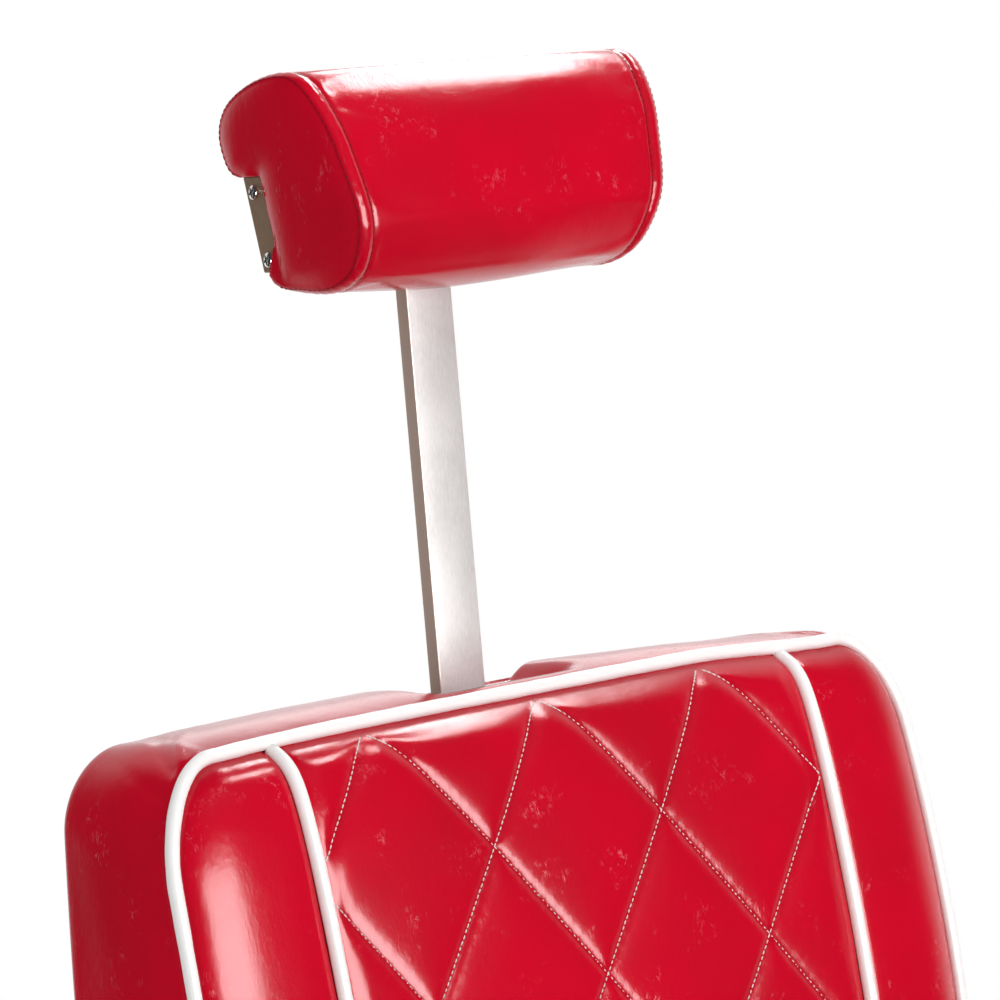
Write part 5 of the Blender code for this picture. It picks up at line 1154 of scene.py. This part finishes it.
seat = PipedCushion(278, 250, (45, 45, 45), 40, 0.0, lambda v: 84.0 + 0 * v, 192, 13.5, 3.8)
cushion_piece("seat_cover", seat, seat_place, 280, 253, "seat", "seat_cushion", 4.0)
pipings(seat, seat_place, "seat", "seat")
quilt_stitches("seat_stitches", seat, seat_place, "seat", white_thread)

# %% [markdown]
# ## Arms
# Each arm is a chromed tube bent from one rail up, along and down again, with a pad on its top run. The
# tube's path has straight runs and round bends. Its circles are carried from point to point by the smallest
# turn, so they don't twist.

# %% Arm tubes
def bent_path(corners, radii, steps):
    """Straight runs joined by arcs: each corner is cut back by r tan(half turn) and replaced by its arc."""
    path = [corners[0]]
    for before, corner, after, radius in zip(corners, corners[1:], corners[2:], radii):
        into, away = (step / np.linalg.norm(step) for step in (corner - before, after - corner))
        turn = math.acos(np.clip(into @ away, -1, 1))
        start = corner - into * radius * math.tan(turn / 2)
        inward = (away - into * (into @ away)) / math.sin(turn)
        angle = np.linspace(0, turn, steps)[:, None]
        path.extend(start + radius * (np.sin(angle) * into + (1 - np.cos(angle)) * inward))
    return np.array(path + [corners[-1]])


def carried_rings(path, radius, sides):
    """Circles round a path whose first side direction is carried along by the smallest turns."""
    tangent = np.gradient(path, axis=0)
    tangent /= np.linalg.norm(tangent, axis=1, keepdims=True)
    side = np.cross(tangent[0], (0.31, 0.42, 0.85))
    angle = np.linspace(0, 2 * np.pi, sides, endpoint=False)[:, None]
    rings = []
    for point, along in zip(path, tangent):
        side = side - along * (side @ along)
        side = side / np.linalg.norm(side)
        rings.append(point + radius * (np.cos(angle) * side + np.sin(angle) * np.cross(along, side)))
    return np.array(rings)


ARM_X = 332.0


def arm_tube(sign, hand):
    rail, low, high, front, rear = 202.8, 426.4, 705.0, -150.0, 95.0
    corners = np.array([(rail, front, low), (ARM_X, front, low), (ARM_X, front, high), (ARM_X, rear, high),
                        (ARM_X, rear, low), (rail, rear, low)])
    path = bent_path(corners, (32, 55, 55, 32), 18) * (sign, 1, 1)
    skin = tube_skin(carried_rings(path * MM, 14 * MM, 32))
    return piece(f"arm_bow_{hand}", *skin, chrome, "seat", [f"arm_tube_{hand}"], "chrome")


for sign, hand in HANDS:
    print(arm_tube(sign, hand).name)

# %% [markdown]
# Arm pads are long soft blocks with a flat underside and a seam low on their sides. Each cross section is a
# rounded rectangle, |a|^4 + |b|^4 = 1, whose size falls to nothing round each end.

# %% Arm pads
def soft_bar(half_length, half_width, height, rows, columns):
    """A soft block: along t, rings |a|^4 + |b|^4 = 1 scaled by (1 - |t|^6)^(1/6), with a seam low down."""
    t = np.sin(np.linspace(-0.995, 0.995, rows) * np.pi / 2)[:, None]
    size = (1 - np.abs(t) ** 6) ** (1 / 6)
    turn = np.linspace(0, 2 * np.pi, columns, endpoint=False)[None]
    a, b = np.cos(turn), np.sin(turn)
    reach = (np.abs(a) ** 4 + np.abs(b) ** 4) ** -0.25
    a, b = a * reach * size, b * reach * size
    seam = np.exp(-((b + 0.42) / 0.045) ** 2)
    swell = 1 + 0.012 * ripple(t * half_length, a * half_width + b * 30, 70, 6) - 0.035 * seam
    swell = np.where(b < -0.6, 1 - 0.035 * seam, swell)
    lift = np.where(b > 0, b * (1 + 0.05 * (1 - a * a)), b)
    return t * half_length + 0 * a, a * half_width * swell, (lift + 1) * height / 2, seam


def arm_pad(sign, hand):
    y, x, z, seam = soft_bar(160, 31, 45, 96, 72)
    points = upright(sign * ARM_X + x, y - 27.5, 719.4 + z)
    held = ((z < 8) | (seam > 0.3))[::2, ::2]
    held[[0, -1]] = True
    move = blown_up(points[::2, ::2], True, held, 4.0, 0.003)
    points = points + refined(np.concatenate([move, move[:, :1]], 1), 96, 73)[:, :-1]
    skin = tube_skin(points)
    made = piece(f"arm_cover_{hand}", *skin, red_leather, "seat", [f"arm_pad_{hand}"], "red_vinyl")
    mark_seam_shade(made, np.concatenate([seam.ravel(), [0, 0]]))
    return made


for sign, hand in HANDS:
    print(arm_pad(sign, hand).name)

# %% [markdown]
# ## Leg rest pad
# A smaller quilted cushion on the leg rest's board, with its own piping.

# %% Leg pad
def leg_place(x, v, d):
    return on_leg(x, -d, -160.5 + v)


calf = PipedCushion(192, 110.5, (30, 30, 30), 28, 0.4, lambda v: 26.0 + 0 * v, 184, 11.0, 3.5)
cushion_piece("leg_cover", calf, leg_place, 193, 112, "legrest", "leg_pad", 4.0)
out = leg_place(0.0, 0.0, 1.0) - leg_place(0.0, 0.0, 0.0)
calf_x, calf_v = calf.rounded(*square_walk(calf.half_x, calf.half_v, 400), 1.5)
skin = loop_skin(tube_rings(leg_place(calf_x, calf_v, 25.6), PIPING_RADIUS * MM, 16, out, True))
piece("leg_piping", *skin, white_vinyl, "legrest", (), "white_piping")
quilt_stitches("leg_stitches", calf, leg_place, "legrest", white_thread)

# %% [markdown]
# ## Turned parts
# The base cover, the ram and other round parts are turned: a closed outline of radius and height, carried
# round an axis. Real edges are slightly broken and catch the light, so each corner of an outline is cut
# back a little. Extra points beside the cut keep the flat faces flat under smooth shading.

# %% Turned parts
def edged(outline, size):
    """Each corner of a closed outline becomes four points: 3 and 1 sizes before it, 1 and 3 after it."""
    outline = np.asarray(outline, float)
    before, after = np.roll(outline, 1, 0) - outline, np.roll(outline, -1, 0) - outline
    long_before, long_after = (np.linalg.norm(side, axis=1, keepdims=True) for side in (before, after))
    back, ahead = before / long_before, after / long_after
    near, far = np.minimum(size, long_before / 8), np.minimum(size, long_after / 8)
    steps = [3 * near * back, near * back, far * ahead, 3 * far * ahead]
    return np.stack([outline + step for step in steps], 1).reshape(-1, 2)


def turned(name, outline, sides, place, finish, body, node, slot):
    """Rings (r cos a, r sin a, z) for each point of a closed outline, placed by a function of mm."""
    angle = np.linspace(0, 2 * np.pi, sides, endpoint=False)
    r, z = outline[:, :1], outline[:, 1:]
    skin = loop_skin(place(r * np.cos(angle), r * np.sin(angle), z + 0 * angle))
    return piece(name, *skin, finish, body, [node], slot)


def on_lever(x, y, z):
    """The knob's axis points to the chair's right, away from the lever's flat end."""
    return upright(-303.3 - z, y - 100, x + 430)


t = np.linspace(0, 1, 48)
dome = np.stack([340 - 287.5 * t, 15.3 + 48.7 * np.sin(t * np.pi / 2) ** 0.8], -1)
under = np.stack([np.minimum(dome[:, 0], 337), dome[:, 1] - 3], -1)
cover_outline = np.concatenate([[(337, 7.4), (340, 7.4)], dome, under[::-1]])
turn = np.linspace(0, np.pi, 40)
knob_radius = 13 * np.sin(turn) ** 0.6 * (1 - 0.12 * np.cos(turn)) + 0.3
knob_outline = np.stack([knob_radius, 17 - 17 * np.cos(turn)], -1)
turned("base_dome", cover_outline, 128, upright, chrome, "base", "base_cover", "chrome")
tyre_outline = edged([(326, 0), (341, 0), (341, 7), (326, 7)], 1.0)
turned("base_tyre", tyre_outline, 128, upright, rubber, "base", "base_ring", "rubber")
COLUMN_PARTS = [
    ("gland_ring", 0.4, [(30.4, 300.3), (44, 300.3), (44, 311.5), (40, 316.3), (30.4, 316.3)],
     chrome, "base", "pump_gland", "chrome"),
    ("ram_bar", 0.5, [(0.4, 60), (30, 60), (30, 322.7), (36, 322.7), (36, 331.7), (30, 331.7), (30, 392),
                      (0.4, 392)], chrome, "column", "ram", "chrome"),
    ("bearing_ring", 0.3, [(30.4, 332), (44, 332), (44, 337), (42, 337.4), (42, 338.6), (44, 339), (44, 344),
                           (30.4, 344)], brushed_steel, "column", "thrust_bearing", "brushed_steel"),
    ("hub_cup", 0.6, [(30.4, 344.3), (48, 344.3), (48, 384.3), (56, 392.3), (90, 392.3), (90, 400.3),
                      (0.4, 400.3), (0.4, 392.3), (30.4, 392.3)],
     black_steel, "seat", "swivel_hub", "black_steel"),
]
for name, broken, outline, *rest in COLUMN_PARTS:
    turned(name, edged(outline, broken), 64, upright, *rest)
turned("lever_grip", knob_outline, 40, on_lever, rubber, "lever", "lever_knob", "rubber")
print("turned parts made")

# %% [markdown]
# ## Ribbed rubber
# The foot mat and the pedal's tread have ribs so that shoes don't slip. A rib outline, a clipped sine, is
# carried straight across.

# %% Ribbed rubber
def ribbed(name, start, end, low, high, half_x, place, body, node):
    """Outline along t from start to end: top at high less clip(2 sin(2 pi t / 7) - 0.6), bottom at low."""
    t = np.linspace(start, end, int((end - start) / 0.7))
    top = high - 1.0 * np.clip(2 * np.sin(2 * np.pi * (t - start) / 7) - 0.6, 0, 1)
    edge_in = np.clip(np.minimum(t - start, end - t) / 1.2, 0, 1)
    top = top - 1.0 * (1 - np.sqrt(1 - (1 - edge_in) ** 2))
    outline = np.concatenate([np.stack([t, top], -1), [(end, low), (start, low)]])
    x = np.array([-half_x, -half_x + 0.6, half_x - 0.6, half_x])[:, None]
    rings = place(x + 0 * outline[:, 0], outline[:, 0] + 0 * x, outline[:, 1] + 0 * x)
    return piece(name, *tube_skin(rings), rubber, body, [node], "rubber")


def on_tread(x, y, z):
    return upright(y, x, z)


ribbed("mat_ribs", -140, -0.4, -285.0, -281.0, 140, on_leg, "legrest", "foot_mat")
ribbed("tread_ribs", -371, -301, 100.7, 110.7, 23, on_tread, "pedal", "pedal_pad")
print("ribbed rubber made")

# %% [markdown]
# ## Finishes of the CAD solids
# The solids that no piece stands for keep their own shape. Most are black painted steel, and the rest are
# named here.

# %% CAD finishes
SOLID_FINISHES = [
    (chrome, ["post_plate", "lever", "foot_plate", "lock_barrel"]),
    (brushed_steel, ["post_socket", "pedal_pin", "link_rod_left", "link_rod_right", "lock_rod"]),
    (strap_steel, ["headrest_strap"]),
    (plywood, ["seat_board", "back_board", "headrest_board", "leg_board"]),
    (nylon, ["post_liner"]),
]
finish_of = {name: finish for finish, names in SOLID_FINISHES for name in names}
for name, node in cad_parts.items():
    node.data.materials.clear()
    node.data.materials.append(finish_of.get(name, black_steel))
print("finished", len(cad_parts), "solids")
